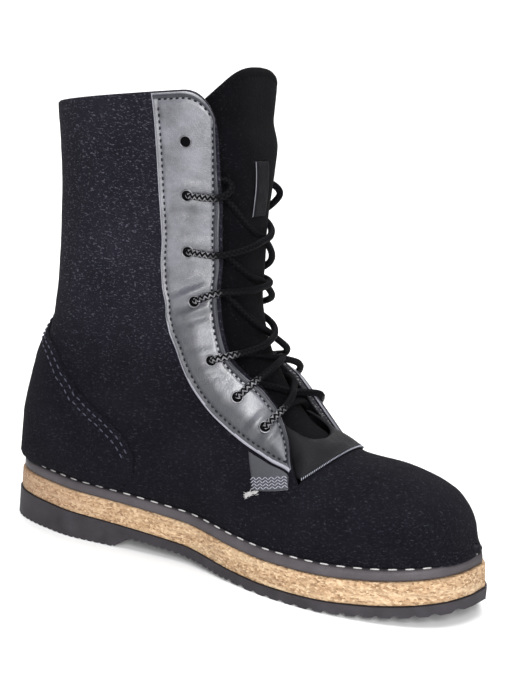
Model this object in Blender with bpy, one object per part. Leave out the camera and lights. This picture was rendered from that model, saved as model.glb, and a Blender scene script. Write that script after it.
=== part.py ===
# Felt lace-up boot, left foot, standing empty on its sole.
# Frame: toe +X, wearer's medial side -Y, up +Z, floor at z = 0. Lengths below are in millimetres.
import math

import bmesh
import bpy
from mathutils import Matrix, Vector

SOLE_LENGTH = 290.0
BALL_WIDTH = 112.0
COLLAR_HEIGHT = 256.0
HEEL_HEIGHT = 16.5
TOE_SPRING = 9.0
FELT = 3.5
LEATHER = 1.5
GAP = 0.3
CORK = 12.3
WELT = 5.4
RUBBER = 5.2
UPPER_INSET = 5.5
INSOLE = 4.0
COUNTER = 2.8
BED_INSET = 13.3
LACE_RADIUS = 2.0
EYELET_RADIUS = 3.5
EYELET_HOLE = 2.0
TONGUE_CLEAR = 5.4
MILLIMETRE = 0.001

# Sole outline: place along the length, medial and lateral half width as shares of the ball width.
OUTLINE_COLUMNS = ("along", "medial", "lateral")
OUTLINE = (
    (0.000, 0.000, 0.000), (0.020, 0.147, 0.152), (0.060, 0.238, 0.250), (0.120, 0.298, 0.326),
    (0.200, 0.339, 0.353), (0.310, 0.321, 0.357), (0.428, 0.309, 0.402), (0.560, 0.402, 0.482),
    (0.667, 0.467, 0.518), (0.748, 0.483, 0.513), (0.834, 0.453, 0.446), (0.907, 0.388, 0.325),
    (0.959, 0.291, 0.190), (0.990, 0.150, 0.060), (1.000, 0.018, -0.018),
)

# Underside of the midsole above the floor, as a share of the heel height, before the toe spring.
RISE_COLUMNS = ("along", "rise")
RISE = ((0.0, 1.00), (0.22, 0.86), (0.43, 0.62), (0.634, 0.34), (0.841, 0.35), (1.0, 0.37))

# Sections of the upper from toe tip to above the collar. The base runs along the sole and then up the back.
# base_z is a share of the collar height, or None where the base rests on the welt.
SECTION_COLUMNS = ("base_x", "base_z", "front_x", "front_z", "ridge_y", "medial", "lateral",
                   "widest_at", "top_power", "low_power")
SECTIONS = (
    (0.9795, None, 0.9780, 0.1426, -0.018, 0.035, 0.005, 0.30, 2.2, 2.0),
    (0.9600, None, 0.9670, 0.172, -0.026, 0.185, 0.105, 0.30, 2.2, 2.0),
    (0.9290, None, 0.9485, 0.204, -0.026, 0.290, 0.205, 0.30, 2.2, 2.0),
    (0.8820, None, 0.9120, 0.237, -0.018, 0.372, 0.320, 0.30, 2.2, 2.0),
    (0.8140, None, 0.8550, 0.257, -0.004, 0.428, 0.426, 0.30, 2.1, 2.0),
    (0.7520, None, 0.7890, 0.267, 0.004, 0.450, 0.482, 0.30, 2.1, 2.0),
    (0.7000, None, 0.7172, 0.274, 0.008, 0.446, 0.487, 0.30, 2.0, 2.0),
    (0.6207, None, 0.6630, 0.306, 0.008, 0.420, 0.470, 0.30, 2.0, 2.0),
    (0.5172, None, 0.6190, 0.362, 0.008, 0.380, 0.434, 0.31, 2.1, 2.0),
    (0.3862, None, 0.5740, 0.430, 0.004, 0.362, 0.395, 0.33, 2.3, 2.0),
    (0.2414, None, 0.5379, 0.506, 0.000, 0.357, 0.371, 0.35, 2.6, 2.1),
    (0.1310, None, 0.5190, 0.586, 0.000, 0.353, 0.357, 0.35, 2.9, 2.2),
    (0.0500, None, 0.5138, 0.641, 0.000, 0.348, 0.350, 0.34, 3.1, 2.4),
    (0.0220, None, 0.5110, 0.680, 0.000, 0.344, 0.344, 0.34, 3.2, 2.5),
    (0.0240, 0.227, 0.5100, 0.715, 0.000, 0.340, 0.340, 0.34, 3.2, 2.5),
    (0.0460, 0.363, 0.5100, 0.764, 0.000, 0.340, 0.340, 0.36, 3.2, 2.5),
    (0.0720, 0.492, 0.5117, 0.815, 0.000, 0.353, 0.353, 0.39, 3.2, 2.4),
    (0.0760, 0.645, 0.5110, 0.872, 0.000, 0.380, 0.380, 0.42, 3.2, 2.3),
    (0.0710, 0.809, 0.5090, 0.940, 0.000, 0.416, 0.416, 0.45, 3.2, 2.3),
    (0.0590, 0.949, 0.5069, 1.014, 0.000, 0.451, 0.451, 0.47, 3.2, 2.3),
    (0.0520, 1.047, 0.5034, 1.090, 0.000, 0.478, 0.478, 0.47, 3.2, 2.3),
)
COLLAR_ROW = 19.0
HEEL_ROW = 13.0
LOW_SHARE = 0.4


def spline(knots, values, t):
    """Smooth curve through a short table, with slopes limited so that it does not overshoot."""
    if t <= knots[0]:
        return values[0]
    if t >= knots[-1]:
        return values[-1]
    i = 0
    while t > knots[i + 1]:
        i += 1

    def slope(k):
        if k == 0 or k == len(knots) - 1:
            j = 0 if k == 0 else k - 1
            return (values[j + 1] - values[j]) / (knots[j + 1] - knots[j])
        before = (values[k] - values[k - 1]) / (knots[k] - knots[k - 1])
        after = (values[k + 1] - values[k]) / (knots[k + 1] - knots[k])
        if before * after <= 0.0:
            return 0.0
        return 2.0 * before * after / (before + after)

    step = knots[i + 1] - knots[i]
    s = (t - knots[i]) / step
    a = 2 * s ** 3 - 3 * s ** 2 + 1
    b = s ** 3 - 2 * s ** 2 + s
    return (a * values[i] + b * step * slope(i) + (1 - a) * values[i + 1]
            + (s ** 3 - s ** 2) * step * slope(i + 1))


def column(table, columns, name):
    return [row[columns.index(name)] for row in table]


def half_width(x, side, inset=0.0):
    """Half width of the sole outline at x, drawn in all round by the inset; side is -1 medial, +1 lateral."""
    along = (x - inset) / (SOLE_LENGTH - 2 * inset)
    name = "medial" if side < 0 else "lateral"
    share = spline(column(OUTLINE, OUTLINE_COLUMNS, "along"), column(OUTLINE, OUTLINE_COLUMNS, name), along)
    return share * BALL_WIDTH * (1.0 - inset / (0.5 * BALL_WIDTH))


def toe_spring(x):
    start = 0.666 * SOLE_LENGTH
    if x <= start:
        return 0.0
    return TOE_SPRING * ((x - start) / (SOLE_LENGTH - start)) ** 2


def cork_low(x):
    share = spline(column(RISE, RISE_COLUMNS, "along"), column(RISE, RISE_COLUMNS, "rise"), x / SOLE_LENGTH)
    return HEEL_HEIGHT * share + toe_spring(x)


def cork_top(x):
    return cork_low(x) + CORK


def welt_top(x):
    return cork_top(x) + GAP + WELT


ROWS = [float(k) for k in range(len(SECTIONS))]
SECTION = {name: column(SECTIONS, SECTION_COLUMNS, name) for name in SECTION_COLUMNS}


def section(row):
    """Sizes of one section of the upper, at any place between the rows of the table."""
    size = {}
    for name in SECTION_COLUMNS:
        if name != "base_z":
            size[name] = spline(ROWS, SECTION[name], row)
    base_x = size["base_x"] * SOLE_LENGTH
    heights = []
    for k, share in enumerate(SECTION["base_z"]):
        on_welt = welt_top(SECTION["base_x"][k] * SOLE_LENGTH) + GAP
        heights.append(on_welt if share is None else share * COLLAR_HEIGHT)
    if row <= HEEL_ROW:
        base_z = welt_top(base_x) + GAP
    else:
        base_z = spline(ROWS, heights, row)
    size["base"] = (base_x, base_z)
    size["front"] = (size["front_x"] * SOLE_LENGTH, size["front_z"] * COLLAR_HEIGHT)
    return size


def last_point(row, across, side):
    """Outer face of the felt: across runs 0 at the base to 1 on the front centre line, on one side."""
    size = section(row)
    base_x, base_z = size["base"]
    front_x, front_z = size["front"]
    ridge = size["ridge_y"] * BALL_WIDTH
    wide = size["medial" if side < 0 else "lateral"] * BALL_WIDTH
    foot = 0.0
    if row < HEEL_ROW:
        foot = max(0.0, half_width(base_x, side, UPPER_INSET))
    high = size["widest_at"]
    if across < LOW_SHARE:
        power = 2.0 / size["low_power"]
        start = math.asin(min(0.96, foot / wide) ** (1.0 / power))
        turn = start + (0.5 * math.pi - start) * across / LOW_SHARE
        first_out, first_up = math.sin(start) ** power, math.cos(start) ** power
        out = foot + (wide - foot) * (math.sin(turn) ** power - first_out) / (1.0 - first_out)
        up = high * (first_up - max(0.0, math.cos(turn)) ** power) / first_up
    else:
        turn = 0.5 * math.pi * min(1.0, (across - LOW_SHARE) / (1.0 - LOW_SHARE))
        power = 2.0 / size["top_power"]
        lean = ridge * side
        out = lean + (wide - lean) * max(0.0, math.cos(turn)) ** power
        up = high + (1.0 - high) * math.sin(turn) ** power
    return (base_x + (front_x - base_x) * up, side * out, base_z + (front_z - base_z) * up)


# Edge of the flap and back edge of the eyestay, as shares of the section from base to front centre.
FLAP_COLUMNS = ("row", "edge", "stay_back")
FLAP = (
    (6.6, 0.636, 0.636), (7.06, 0.695, 0.652), (7.64, 0.775, 0.620), (8.42, 0.812, 0.585),
    (8.9, 0.803, 0.573), (9.42, 0.764, 0.565), (10.2, 0.731, 0.563), (11.6, 0.739, 0.566),
    (13.4, 0.752, 0.560), (15.5, 0.720, 0.508), (17.2, 0.690, 0.474), (19.0, 0.677, 0.452),
    (20.0, 0.672, 0.440),
)
TOE_EDGE_ROW = 6.6

# Eyelets from the top of the flap down.
EYELET_COLUMNS = ("row", "across")
EYELETS = ((17.88, 0.556), (16.66, 0.567), (14.92, 0.604), (12.50, 0.649), (10.25, 0.657),
           (9.19, 0.677), (8.25, 0.698))

# The lateral flap stands further back from the centre line, by this share of the section, above these rows.
LATERAL_OPEN = 0.10
OPEN_ROWS = (8.4, 11.2)

# The laces of the lowest eyelets run square to the instep, those at the top run level
# and those between run half way.
LEVEL_FROM = 5
HALF_SQUARE = (4, 5)
INSTEP_DROP = 0.15

# Upper edge of the heel counter.
COUNTER_COLUMNS = ("row", "edge")
COUNTER_EDGE = ((9.55, 0.10), (9.69, 0.22), (9.9, 0.308), (10.5, 0.378), (11.33, 0.400), (12.3, 0.402),
                (13.39, 0.400), (14.21, 0.364), (14.75, 0.309), (15.2, 0.230), (15.6, 0.130), (15.9, 0.060))

# Half width of the tongue under the flaps.
TONGUE_COLUMNS = ("row", "edge")
TONGUE_EDGE = ((6.3, 0.76), (7.0, 0.70), (8.0, 0.665), (10.0, 0.60), (13.0, 0.560), (16.0, 0.535),
               (20.0, 0.525))
TONGUE_TOP_ROW = 19.62
TONGUE_SIDE_ROW = 18.2

SIDES = ((-1, "medial"), (1, "lateral"))

# Spacing of the mesh lines from the base or the centre back to an edge, closer together at the back.
UPPER_SHARES = (0.0, 0.03, 0.07, 0.13, 0.21, 0.32, 0.46, 0.60, 0.72, 0.83, 0.92, 1.0)
COUNTER_SHARES = (0.0, 0.08, 0.18, 0.31, 0.47, 0.65, 0.83, 1.0)


def lookup(table, columns, name, row):
    return spline(column(table, columns, "row"), column(table, columns, name), row)


def opened(row, side):
    """Share of the section by which the flap of one side is set back."""
    if side < 0:
        return 0.0
    rise = min(1.0, max(0.0, (row - OPEN_ROWS[0]) / (OPEN_ROWS[1] - OPEN_ROWS[0])))
    return LATERAL_OPEN * rise * rise * (3.0 - 2.0 * rise)


def flap_edge(row, side):
    return lookup(FLAP, FLAP_COLUMNS, "edge", row) - opened(row, side)


def stay_back(row, side):
    return lookup(FLAP, FLAP_COLUMNS, "stay_back", row) - opened(row, side)


def eyelet_place(number, side):
    row, across = EYELETS[number - 1]
    return row, across - opened(row, side)


def collar_row(share):
    """Top row of the flap; the front corner of the collar is rounded off."""
    turn = max(0.0, (share - 0.80) / 0.20)
    return COLLAR_ROW - 1.25 * (1.0 - math.sqrt(max(0.0, 1.0 - turn * turn)))


def last_normal(row, across, side):
    """Outward direction of the last at one place."""
    low_row, high_row = max(0.0, row - 0.05), min(20.0, row + 0.05)
    low_side, high_side = max(0.0, across - 0.012), min(1.0, across + 0.012)
    along = Vector(last_point(high_row, across, side)) - Vector(last_point(low_row, across, side))
    around = Vector(last_point(row, high_side, side)) - Vector(last_point(row, low_side, side))
    normal = along.cross(around)
    if across >= 1.0 or (across <= 0.0 and row >= HEEL_ROW):
        normal.y = 0.0
    normal.normalize()
    size = section(row)
    middle = Vector((0.5 * (size["base"][0] + size["front"][0]), size["ridge_y"] * BALL_WIDTH,
                     0.5 * (size["base"][1] + size["front"][1])))
    if normal.dot(Vector(last_point(row, across, side)) - middle) < 0.0:
        normal.negate()
    return normal


def lifted(row, across, side, lift):
    """A place on the last moved out of its surface by the lift."""
    return Vector(last_point(row, across, side)) + last_normal(row, across, side) * lift


class Sheet:
    """A surface patch of the last: points with their outward directions, welded where they meet."""

    def __init__(self):
        self.points = []
        self.normals = []
        self.faces = []
        self.known = {}

    def add(self, row, across, side):
        point = Vector(last_point(row, across, side))
        key = (round(point.x, 2), round(point.y, 2), round(point.z, 2))
        if key not in self.known:
            self.known[key] = len(self.points)
            self.points.append(point)
            normal = last_normal(row, across, side)
            if row <= 0.0 or (across <= 0.0 and row <= HEEL_ROW):
                normal = Vector((normal.x, normal.y, 0.0)).normalized()
            self.normals.append(normal)
        return self.known[key]

    def grid(self, rows):
        """Adds quads between neighbouring rows of (row, across, side) places."""
        marks = [[self.add(*place) for place in row] for row in rows]
        for first, second in zip(marks, marks[1:]):
            for k in range(len(first) - 1):
                corners = []
                for mark in (first[k], first[k + 1], second[k + 1], second[k]):
                    if mark not in corners:
                        corners.append(mark)
                if len(corners) >= 3:
                    self.faces.append(corners)


def new_object(name, points, faces, colour, rough):
    mesh = bpy.data.meshes.new(name)
    mesh.from_pydata([tuple(Vector(p) * MILLIMETRE) for p in points], [], faces)
    work = bmesh.new()
    work.from_mesh(mesh)
    bmesh.ops.recalc_face_normals(work, faces=work.faces)
    if work.calc_volume(signed=True) < 0.0:
        bmesh.ops.reverse_faces(work, faces=work.faces)
    work.to_mesh(mesh)
    work.free()
    thing = bpy.data.objects.new(name, mesh)
    BOOT.objects.link(thing)
    paint(thing, colour, rough)
    return thing


def shell(name, sheet, low, high, colour, rough, above_welt=False):
    """Solid between two lifts of one sheet, closed round its edges and if asked kept above the welt."""
    count = len(sheet.points)
    points = []
    for lift in (low, high):
        for k in range(count):
            point = sheet.points[k] + sheet.normals[k] * lift
            if above_welt:
                point.z = max(point.z, welt_top(min(max(point.x, 0.0), SOLE_LENGTH)) + GAP)
            points.append(point)
    faces = [tuple(reversed(face)) for face in sheet.faces]
    faces += [tuple(k + count for k in face) for face in sheet.faces]
    uses = {}
    for face in sheet.faces:
        for a, b in zip(face, face[1:] + face[:1]):
            uses.setdefault((min(a, b), max(a, b)), []).append((a, b))
    for edge in uses.values():
        if len(edge) == 1:
            a, b = edge[0]
            faces.append((a, b, b + count, a + count))
    return new_object(name, points, faces, colour, rough)


def span(start, stop, count):
    return [start + (stop - start) * k / count for k in range(count + 1)]


def make_upper():
    sheet = Sheet()
    shares = UPPER_SHARES
    corner = flap_edge(TOE_EDGE_ROW, -1)
    over = span(corner, 1.0, 5)[1:]
    toe_rows = [0.0, 0.35, 0.8, 1.3] + span(1.9, 5.6, 4) + span(5.6, TOE_EDGE_ROW, 4)[1:]
    side_rows = span(TOE_EDGE_ROW, HEEL_ROW - 1.0, 12) + span(HEEL_ROW - 1.0, HEEL_ROW, 3)[1:]
    side_rows += span(HEEL_ROW, COLLAR_ROW, 12)[1:]
    for side, _ in SIDES:
        across = [share * corner for share in shares] + over
        sheet.grid([[(row, a, side) for a in across] for row in toe_rows])
        rows = []
        for row in side_rows:
            line = []
            for share in shares:
                fade = max(0.0, (row - HEEL_ROW) / (COLLAR_ROW - HEEL_ROW))
                place = row + (collar_row(share) - COLLAR_ROW) * fade
                line.append((place, share * flap_edge(place, side), side))
            rows.append(line)
        sheet.grid(rows)
    tip = sorted({sheet.add(0.0, a, side) for side, _ in SIDES for a in [s * corner for s in shares] + over},
                 key=lambda k: math.atan2(sheet.points[k].z - 34.0, sheet.points[k].y + 2.0))
    sheet.faces.append(tip)
    return shell("upper", sheet, -FELT, 0.0, (0.016, 0.016, 0.022), 0.95, above_welt=True)


def make_counter():
    sheet = Sheet()
    first = HEEL_ROW + 0.09
    rows = span(9.65, HEEL_ROW - 1.0, 7) + span(HEEL_ROW - 1.0, first, 4)[1:]
    rows += span(first, 15.2, 6)[1:] + span(15.2, 15.85, 3)[1:]
    for side, _ in SIDES:
        lines = []
        for row in rows:
            edge = lookup(COUNTER_EDGE, COUNTER_COLUMNS, "edge", row)
            low = 0.034 * min(1.0, max(0.0, first - row) / 0.4)
            lines.append([(row, low + (edge - low) * share, side) for share in COUNTER_SHARES])
        sheet.grid(lines)
    seat = 3.3 * GAP
    return shell("counter", sheet, seat, seat + COUNTER, (0.018, 0.018, 0.024), 0.95, above_welt=True)


def make_eyestay(side, label):
    sheet = Sheet()
    lines = []
    for step in span(0.0, 1.0, 28):
        line = []
        for k in range(5):
            row = 7.02 + (COLLAR_ROW - 7.02) * step
            share = stay_back(row, side) / flap_edge(row, side)
            share = share + (0.992 - share) * k / 4.0
            fade = max(0.0, (row - HEEL_ROW) / (COLLAR_ROW - HEEL_ROW))
            place = row + (collar_row(share) - COLLAR_ROW - 0.02) * fade
            line.append((place, share * flap_edge(place, side), side))
        lines.append(line)
    sheet.grid(lines)
    seat = 1.9 * GAP
    return shell("eyestay_" + label, sheet, seat, seat + LEATHER, (0.055, 0.062, 0.085), 0.42)


def make_tab(side, label):
    sheet = Sheet()
    low_start, low_end = (7.60, 0.475), (6.79, 0.582)
    lines = []
    for along in span(0.0, 1.0, 8):
        line = []
        for k in range(4):
            row_low = low_start[0] + (low_end[0] - low_start[0]) * along
            row_high = 8.20 + (6.97 - 8.20) * along
            across_low = low_start[1] + (low_end[1] - low_start[1]) * along
            across_high = min(stay_back(row_high, side), flap_edge(row_high, side) - 0.018) - 0.014
            share = k / 3.0
            line.append((row_low + (row_high - row_low) * share,
                         across_low + (across_high - across_low) * share, side))
        lines.append(line)
    sheet.grid(lines)
    return shell("facing_tab_" + label, sheet, GAP, GAP + LEATHER, (0.045, 0.048, 0.062), 0.5)


def make_insert():
    sheet = Sheet()
    for side, _ in SIDES:
        lines = []
        for up in span(0.0, 1.0, 4):
            line = []
            for k in range(8):
                share = k / 7.0
                row = 6.12 + 0.45 * share ** 2 + up * (0.83 + 0.75 * share ** 1.6)
                edge = max(0.675, flap_edge(max(row, TOE_EDGE_ROW), side) + 0.034)
                line.append((row, 1.0 - (1.0 - edge) * share, side))
            lines.append(line)
        sheet.grid(lines)
    return shell("vamp_insert", sheet, 2.5 * GAP, 2.5 * GAP + 1.3, (0.10, 0.105, 0.12), 0.5)


def tongue_place(up, share, side):
    """A place on the tongue: up runs from its foot to its rounded top, share from the centre to its edge."""
    widest = lookup(TONGUE_EDGE, TONGUE_COLUMNS, "edge", 18.0)
    out = last_point(18.0, 1.0 - (1.0 - widest) * share, side)[1] / last_point(18.0, widest, side)[1]
    top = TONGUE_SIDE_ROW + (TONGUE_TOP_ROW - TONGUE_SIDE_ROW) * math.sqrt(max(0.0, 1.0 - out * out))
    row = 6.3 + (top - 6.3) * up
    edge = lookup(TONGUE_EDGE, TONGUE_COLUMNS, "edge", row)
    return (row, 1.0 - (1.0 - edge) * share, side)


def make_tongue():
    sheet = Sheet()
    for side, _ in SIDES:
        shares = [math.sin(0.5 * math.pi * k / 7.0) for k in range(8)]
        ups = span(0.0, 0.5, 10) + span(0.5, 1.0, 5)[1:]
        sheet.grid([[tongue_place(up, share, side) for share in shares] for up in ups])
    face = -FELT - TONGUE_CLEAR
    return shell("tongue", sheet, face - FELT, face, (0.017, 0.017, 0.023), 0.95)


def make_keeper():
    sheet = Sheet()
    lines = []
    for up in span(0.0, 1.0, 6):
        row = 14.70 + 2.18 * up
        shift = -0.016 - 0.006 * up
        line = []
        for k in range(5):
            offset = shift + 0.054 * (k / 4.0 - 0.5)
            side = -1 if offset < 0.0 else 1
            line.append((row, 1.0 - abs(offset), side))
        lines.append(line)
    sheet.grid(lines)
    base = -FELT - TONGUE_CLEAR + GAP
    return shell("tongue_keeper", sheet, base, base + 1.2, (0.22, 0.23, 0.25), 0.5)


def paint(thing, colour, rough, metal=0.0):
    material = bpy.data.materials.new(thing.name)
    material.use_nodes = True
    shader = material.node_tree.nodes["Principled BSDF"]
    shader.inputs["Base Color"].default_value = (*colour, 1.0)
    shader.inputs["Roughness"].default_value = rough
    shader.inputs["Metallic"].default_value = metal
    thing.data.materials.clear()
    thing.data.materials.append(material)


def collect(thing, group):
    for other in list(thing.users_collection):
        other.objects.unlink(thing)
    group.objects.link(thing)


def make_eyelet(number, side, label):
    row, across = eyelet_place(number, side)
    axis = last_normal(row, across, side)
    thick = 0.5 * (EYELET_RADIUS - EYELET_HOLE)
    centre = lifted(row, across, side, 2.8 * GAP + LEATHER + thick)
    bpy.ops.mesh.primitive_torus_add(
        major_radius=0.5 * (EYELET_RADIUS + EYELET_HOLE) * MILLIMETRE, minor_radius=thick * MILLIMETRE,
        major_segments=10, minor_segments=4, location=centre * MILLIMETRE,
        rotation=axis.to_track_quat("Z", "Y").to_euler())
    ring = bpy.context.object
    ring.name = "eyelet_%s_%d" % (label, number)
    ring.data.name = ring.name
    ring.data.shade_smooth()
    collect(ring, BOOT)
    paint(ring, (0.42, 0.42, 0.43), 0.3, 1.0)
    ring.data.transform(ring.matrix_basis)
    ring.matrix_basis.identity()
    return ring


def cord(name, path):
    """Round lace along a path, as a closed mesh made from a bevelled curve."""
    line = bpy.data.curves.new(name, "CURVE")
    line.dimensions = "3D"
    line.bevel_depth = LACE_RADIUS * MILLIMETRE
    line.bevel_resolution = 1
    line.use_fill_caps = True
    run = line.splines.new("POLY")
    run.points.add(len(path) - 1)
    for point, place in zip(run.points, path):
        point.co = (*(place * MILLIMETRE), 1.0)
    guide = bpy.data.objects.new(name + "_guide", line)
    bpy.context.scene.collection.objects.link(guide)
    bpy.context.view_layer.update()
    mesh = bpy.data.meshes.new_from_object(guide.evaluated_get(bpy.context.evaluated_depsgraph_get()))
    bpy.data.objects.remove(guide)
    work = bmesh.new()
    work.from_mesh(mesh)
    bmesh.ops.remove_doubles(work, verts=work.verts, dist=0.00001)
    bmesh.ops.recalc_face_normals(work, faces=work.faces)
    work.to_mesh(mesh)
    work.free()
    thing = bpy.data.objects.new(name, mesh)
    BOOT.objects.link(thing)
    paint(thing, (0.05, 0.05, 0.055), 0.8)
    return thing


def smooth_path(places, count):
    """Even smooth path through a few places."""
    lengths = [0.0]
    for a, b in zip(places, places[1:]):
        lengths.append(lengths[-1] + (b - a).length)
    path = []
    for t in span(0.0, lengths[-1], count):
        path.append(Vector([spline(lengths, [p[axis] for p in places], t) for axis in range(3)]))
    return path


OVER_FLAP = 2.4 * GAP + LEATHER + LACE_RADIUS
ON_TONGUE = -FELT - TONGUE_CLEAR + 2 * GAP + LACE_RADIUS


def row_at_height(across, side, height):
    """Row whose place at this share of the section lies at the height asked for."""
    low, high = 6.0, 20.0
    for _ in range(30):
        middle = 0.5 * (low + high)
        if last_point(middle, across, side)[2] < height:
            low = middle
        else:
            high = middle
    return 0.5 * (low + high)


def edge_row(number, side):
    """Row where the lace of one eyelet passes the edge of the flap."""
    row, across = eyelet_place(number, side)
    if number > LEVEL_FROM:
        return row
    height = last_point(row, across, side)[2]
    low, high = 6.7, 19.0
    for _ in range(30):
        middle = 0.5 * (low + high)
        if last_point(middle, flap_edge(middle, side), side)[2] < height:
            low = middle
        else:
            high = middle
    level = 0.5 * (low + high)
    return 0.5 * (level + row) if number in HALF_SQUARE else level


def on_flap(number, side, share, lift):
    """A place between an eyelet and the edge of its flap."""
    row, across = eyelet_place(number, side)
    row_edge = edge_row(number, side)
    edge = flap_edge(row_edge, side)
    return lifted(row + (row_edge - row) * share, across + (edge - across) * share, side, lift)


def strand(number, side, lift):
    """Lace from eyelet number on one side over its flap, across, and under the other flap above."""
    row, row_up = edge_row(number, side), edge_row(number - 1, -side)
    edge, edge_up = flap_edge(row, side), flap_edge(row_up, -side)
    start, stop = 1.0 - edge, 1.0 - edge_up
    path = [on_flap(number, side, share, OVER_FLAP) for share in (0.47, 0.66, 0.84)]
    steps = (0.0, 0.12, 0.28, 0.50, 0.72, 0.88, 1.0)
    lifts = (OVER_FLAP, 0.45 * OVER_FLAP, 0.4 * ON_TONGUE + lift, ON_TONGUE + lift, ON_TONGUE + 0.5 * lift,
             ON_TONGUE, ON_TONGUE)
    low_end = last_point(row, edge, side)[2]
    high_end = last_point(row_up, edge_up, -side)[2]
    for t in span(0.0, 1.0, 11):
        place = -start + (start + stop) * t
        across_now, side_now = 1.0 - abs(place), side if place < 0.0 else -side
        if number > LEVEL_FROM:
            level = row + (row_up - row) * t - INSTEP_DROP * (1.0 - (2.0 * t - 1.0) ** 2)
        else:
            level = row_at_height(across_now, side_now, low_end + (high_end - low_end) * t)
        path.append(lifted(level, across_now, side_now, spline(steps, lifts, t)))
    path += [lifted(row_up, edge_up - drop, -side, ON_TONGUE) for drop in (0.02, 0.045)]
    return path


def make_crossing(number):
    """Two strands between eyelets number and number - 1, fused where they cross."""
    upper_strand = cord("lace_cross_%d" % (8 - number), strand(number, -1, 2.6))
    lower_strand = cord("strand_%d" % (8 - number), strand(number, 1, 0.0))
    collect(lower_strand, CUTTERS)
    lower_strand.hide_render = True
    lower_strand.display_type = "WIRE"
    join = upper_strand.modifiers.new("join", "BOOLEAN")
    join.operation = "UNION"
    join.solver = "EXACT"
    join.object = lower_strand
    return upper_strand


def make_bar():
    row, _ = EYELETS[6]
    edge = flap_edge(row, -1)
    places = []
    half = (edge - 0.05, edge, edge + 0.07, edge + 0.15)
    for side, order in ((-1, half + (1.0,)), (1, tuple(reversed(half)))):
        places += [lifted(row, a, side, ON_TONGUE) for a in order]
    return cord("lace_bar", smooth_path(places, 14))


def lace_end_path(side):
    """Last turn of the lace: out of the second eyelet, round the edge of the flap and back inside."""
    row = edge_row(2, side)
    edge = flap_edge(row, side)
    stand = 0.0 if side < 0 else 4.0
    return [on_flap(2, side, 0.47, OVER_FLAP),
            on_flap(2, side, 0.97, OVER_FLAP + 0.5 + 0.3 * stand),
            lifted(row + 0.12, edge + 0.055 + 0.012 * stand, side, 0.2 * OVER_FLAP + stand),
            lifted(row + 0.30, edge + 0.045 + 0.008 * stand, side, 0.75 * ON_TONGUE + 0.5 * stand),
            lifted(row + 0.42, edge - 0.02, side, ON_TONGUE),
            lifted(row + 0.45, edge - 0.06, side, ON_TONGUE)]


def make_lace_end(side, label):
    return cord("lace_end_" + label, smooth_path(lace_end_path(side), 14))


STATIONS = [0.5 - 0.5 * math.cos(math.pi * k / 30.0) for k in range(31)]
BREAST = (0.302, 0.322)


def outline_point(along, side, inset, height):
    x = inset + (SOLE_LENGTH - 2.0 * inset) * along
    return Vector((x, side * half_width(x, side, inset), height(min(max(x, 0.0), SOLE_LENGTH))))


def outline_loop(stations, inset, height):
    """Closed loop round the sole: medial side from heel to toe, then lateral side back."""
    loop = [outline_point(along, -1, inset, height) for along in stations]
    loop += [outline_point(along, 1, inset, height) for along in reversed(stations[1:-1])]
    return loop


def stacked(name, loops, stations, colour, rough, ring=False):
    """Solid from loops round the sole, joined in order and capped, or closed into a ring."""
    points = []
    for inset, height in loops:
        points += outline_loop(stations, inset, height)
    size = 2 * (len(stations) - 1)
    faces = []
    for level in range(len(loops) if ring else len(loops) - 1):
        base, top = level * size, ((level + 1) % len(loops)) * size
        for k in range(size):
            nearby = (k + 1) % size
            faces.append((base + k, base + nearby, top + nearby, top + k))
    if not ring:
        last = len(stations) - 1
        for base in (0, (len(loops) - 1) * size):
            for k in range(last):
                corners = []
                for mark in (k, k + 1, (size - k - 1) % size, (size - k) % size):
                    if mark not in corners:
                        corners.append(mark)
                faces.append(tuple(base + mark for mark in corners))
    return new_object(name, points, faces, colour, rough)


def rubber_low(x):
    """Underside of the rubber: flat heel, raised waist, flat tread, then the toe spring."""
    along = x / SOLE_LENGTH
    if along <= BREAST[0] + 0.001:
        return 0.0
    if along >= 0.60:
        return toe_spring(x)
    thick = 4.0 + (RUBBER - 4.0) * (along - BREAST[1]) / (0.60 - BREAST[1])
    return max(0.0, cork_low(x) - GAP - thick)


def make_sole():
    stations = sorted(STATIONS + [BREAST[0], BREAST[1], 0.585])
    rubber_top = lambda x: cork_low(x) - GAP
    stacked("outsole", ((-1.0, rubber_low), (-1.0, rubber_top)), stations, (0.05, 0.05, 0.052), 0.7)
    stacked("midsole", ((0.0, cork_low), (0.0, cork_top), (BED_INSET, cork_top), (BED_INSET, welt_top)),
            STATIONS, (0.52, 0.36, 0.20), 0.85)
    welt_low = lambda x: cork_top(x) + GAP
    inner = BED_INSET - GAP
    stacked("welt", ((1.0, welt_low), (1.0, welt_top), (inner, welt_top), (inner, welt_low)), STATIONS,
            (0.075, 0.075, 0.08), 0.7, ring=True)
    inset = UPPER_INSET + FELT + 3.0
    floor = lambda x: welt_top(x) + GAP
    bed = lambda x: floor(x) + INSOLE
    stacked("insole", ((inset, floor), (inset, bed)), STATIONS, (0.45, 0.44, 0.42), 0.95)


def centre_parts():
    """Puts the origin at the middle of the boot's box, on the floor."""
    things = list(BOOT.objects)
    xs = [v.co.x for thing in things for v in thing.data.vertices]
    ys = [v.co.y for thing in things for v in thing.data.vertices]
    shift = Matrix.Translation((-0.5 * (min(xs) + max(xs)), -0.5 * (min(ys) + max(ys)), 0.0))
    for thing in things + list(CUTTERS.objects):
        thing.data.transform(shift)


for thing in list(bpy.data.objects):
    bpy.data.objects.remove(thing)
BOOT = bpy.data.collections.new("felt_boot")
CUTTERS = bpy.data.collections.new("cutters")
for group in (BOOT, CUTTERS):
    bpy.context.scene.collection.children.link(group)

make_sole()
make_upper()
make_tongue()
make_counter()
make_insert()
make_keeper()
for side, label in SIDES:
    make_eyestay(side, label)
    make_tab(side, label)
    for number in range(1, 8):
        make_eyelet(number, side, label)
    make_lace_end(side, label)
make_bar()
for number in range(7, 2, -1):
    make_crossing(number)
centre_parts()
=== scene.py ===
import math

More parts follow.
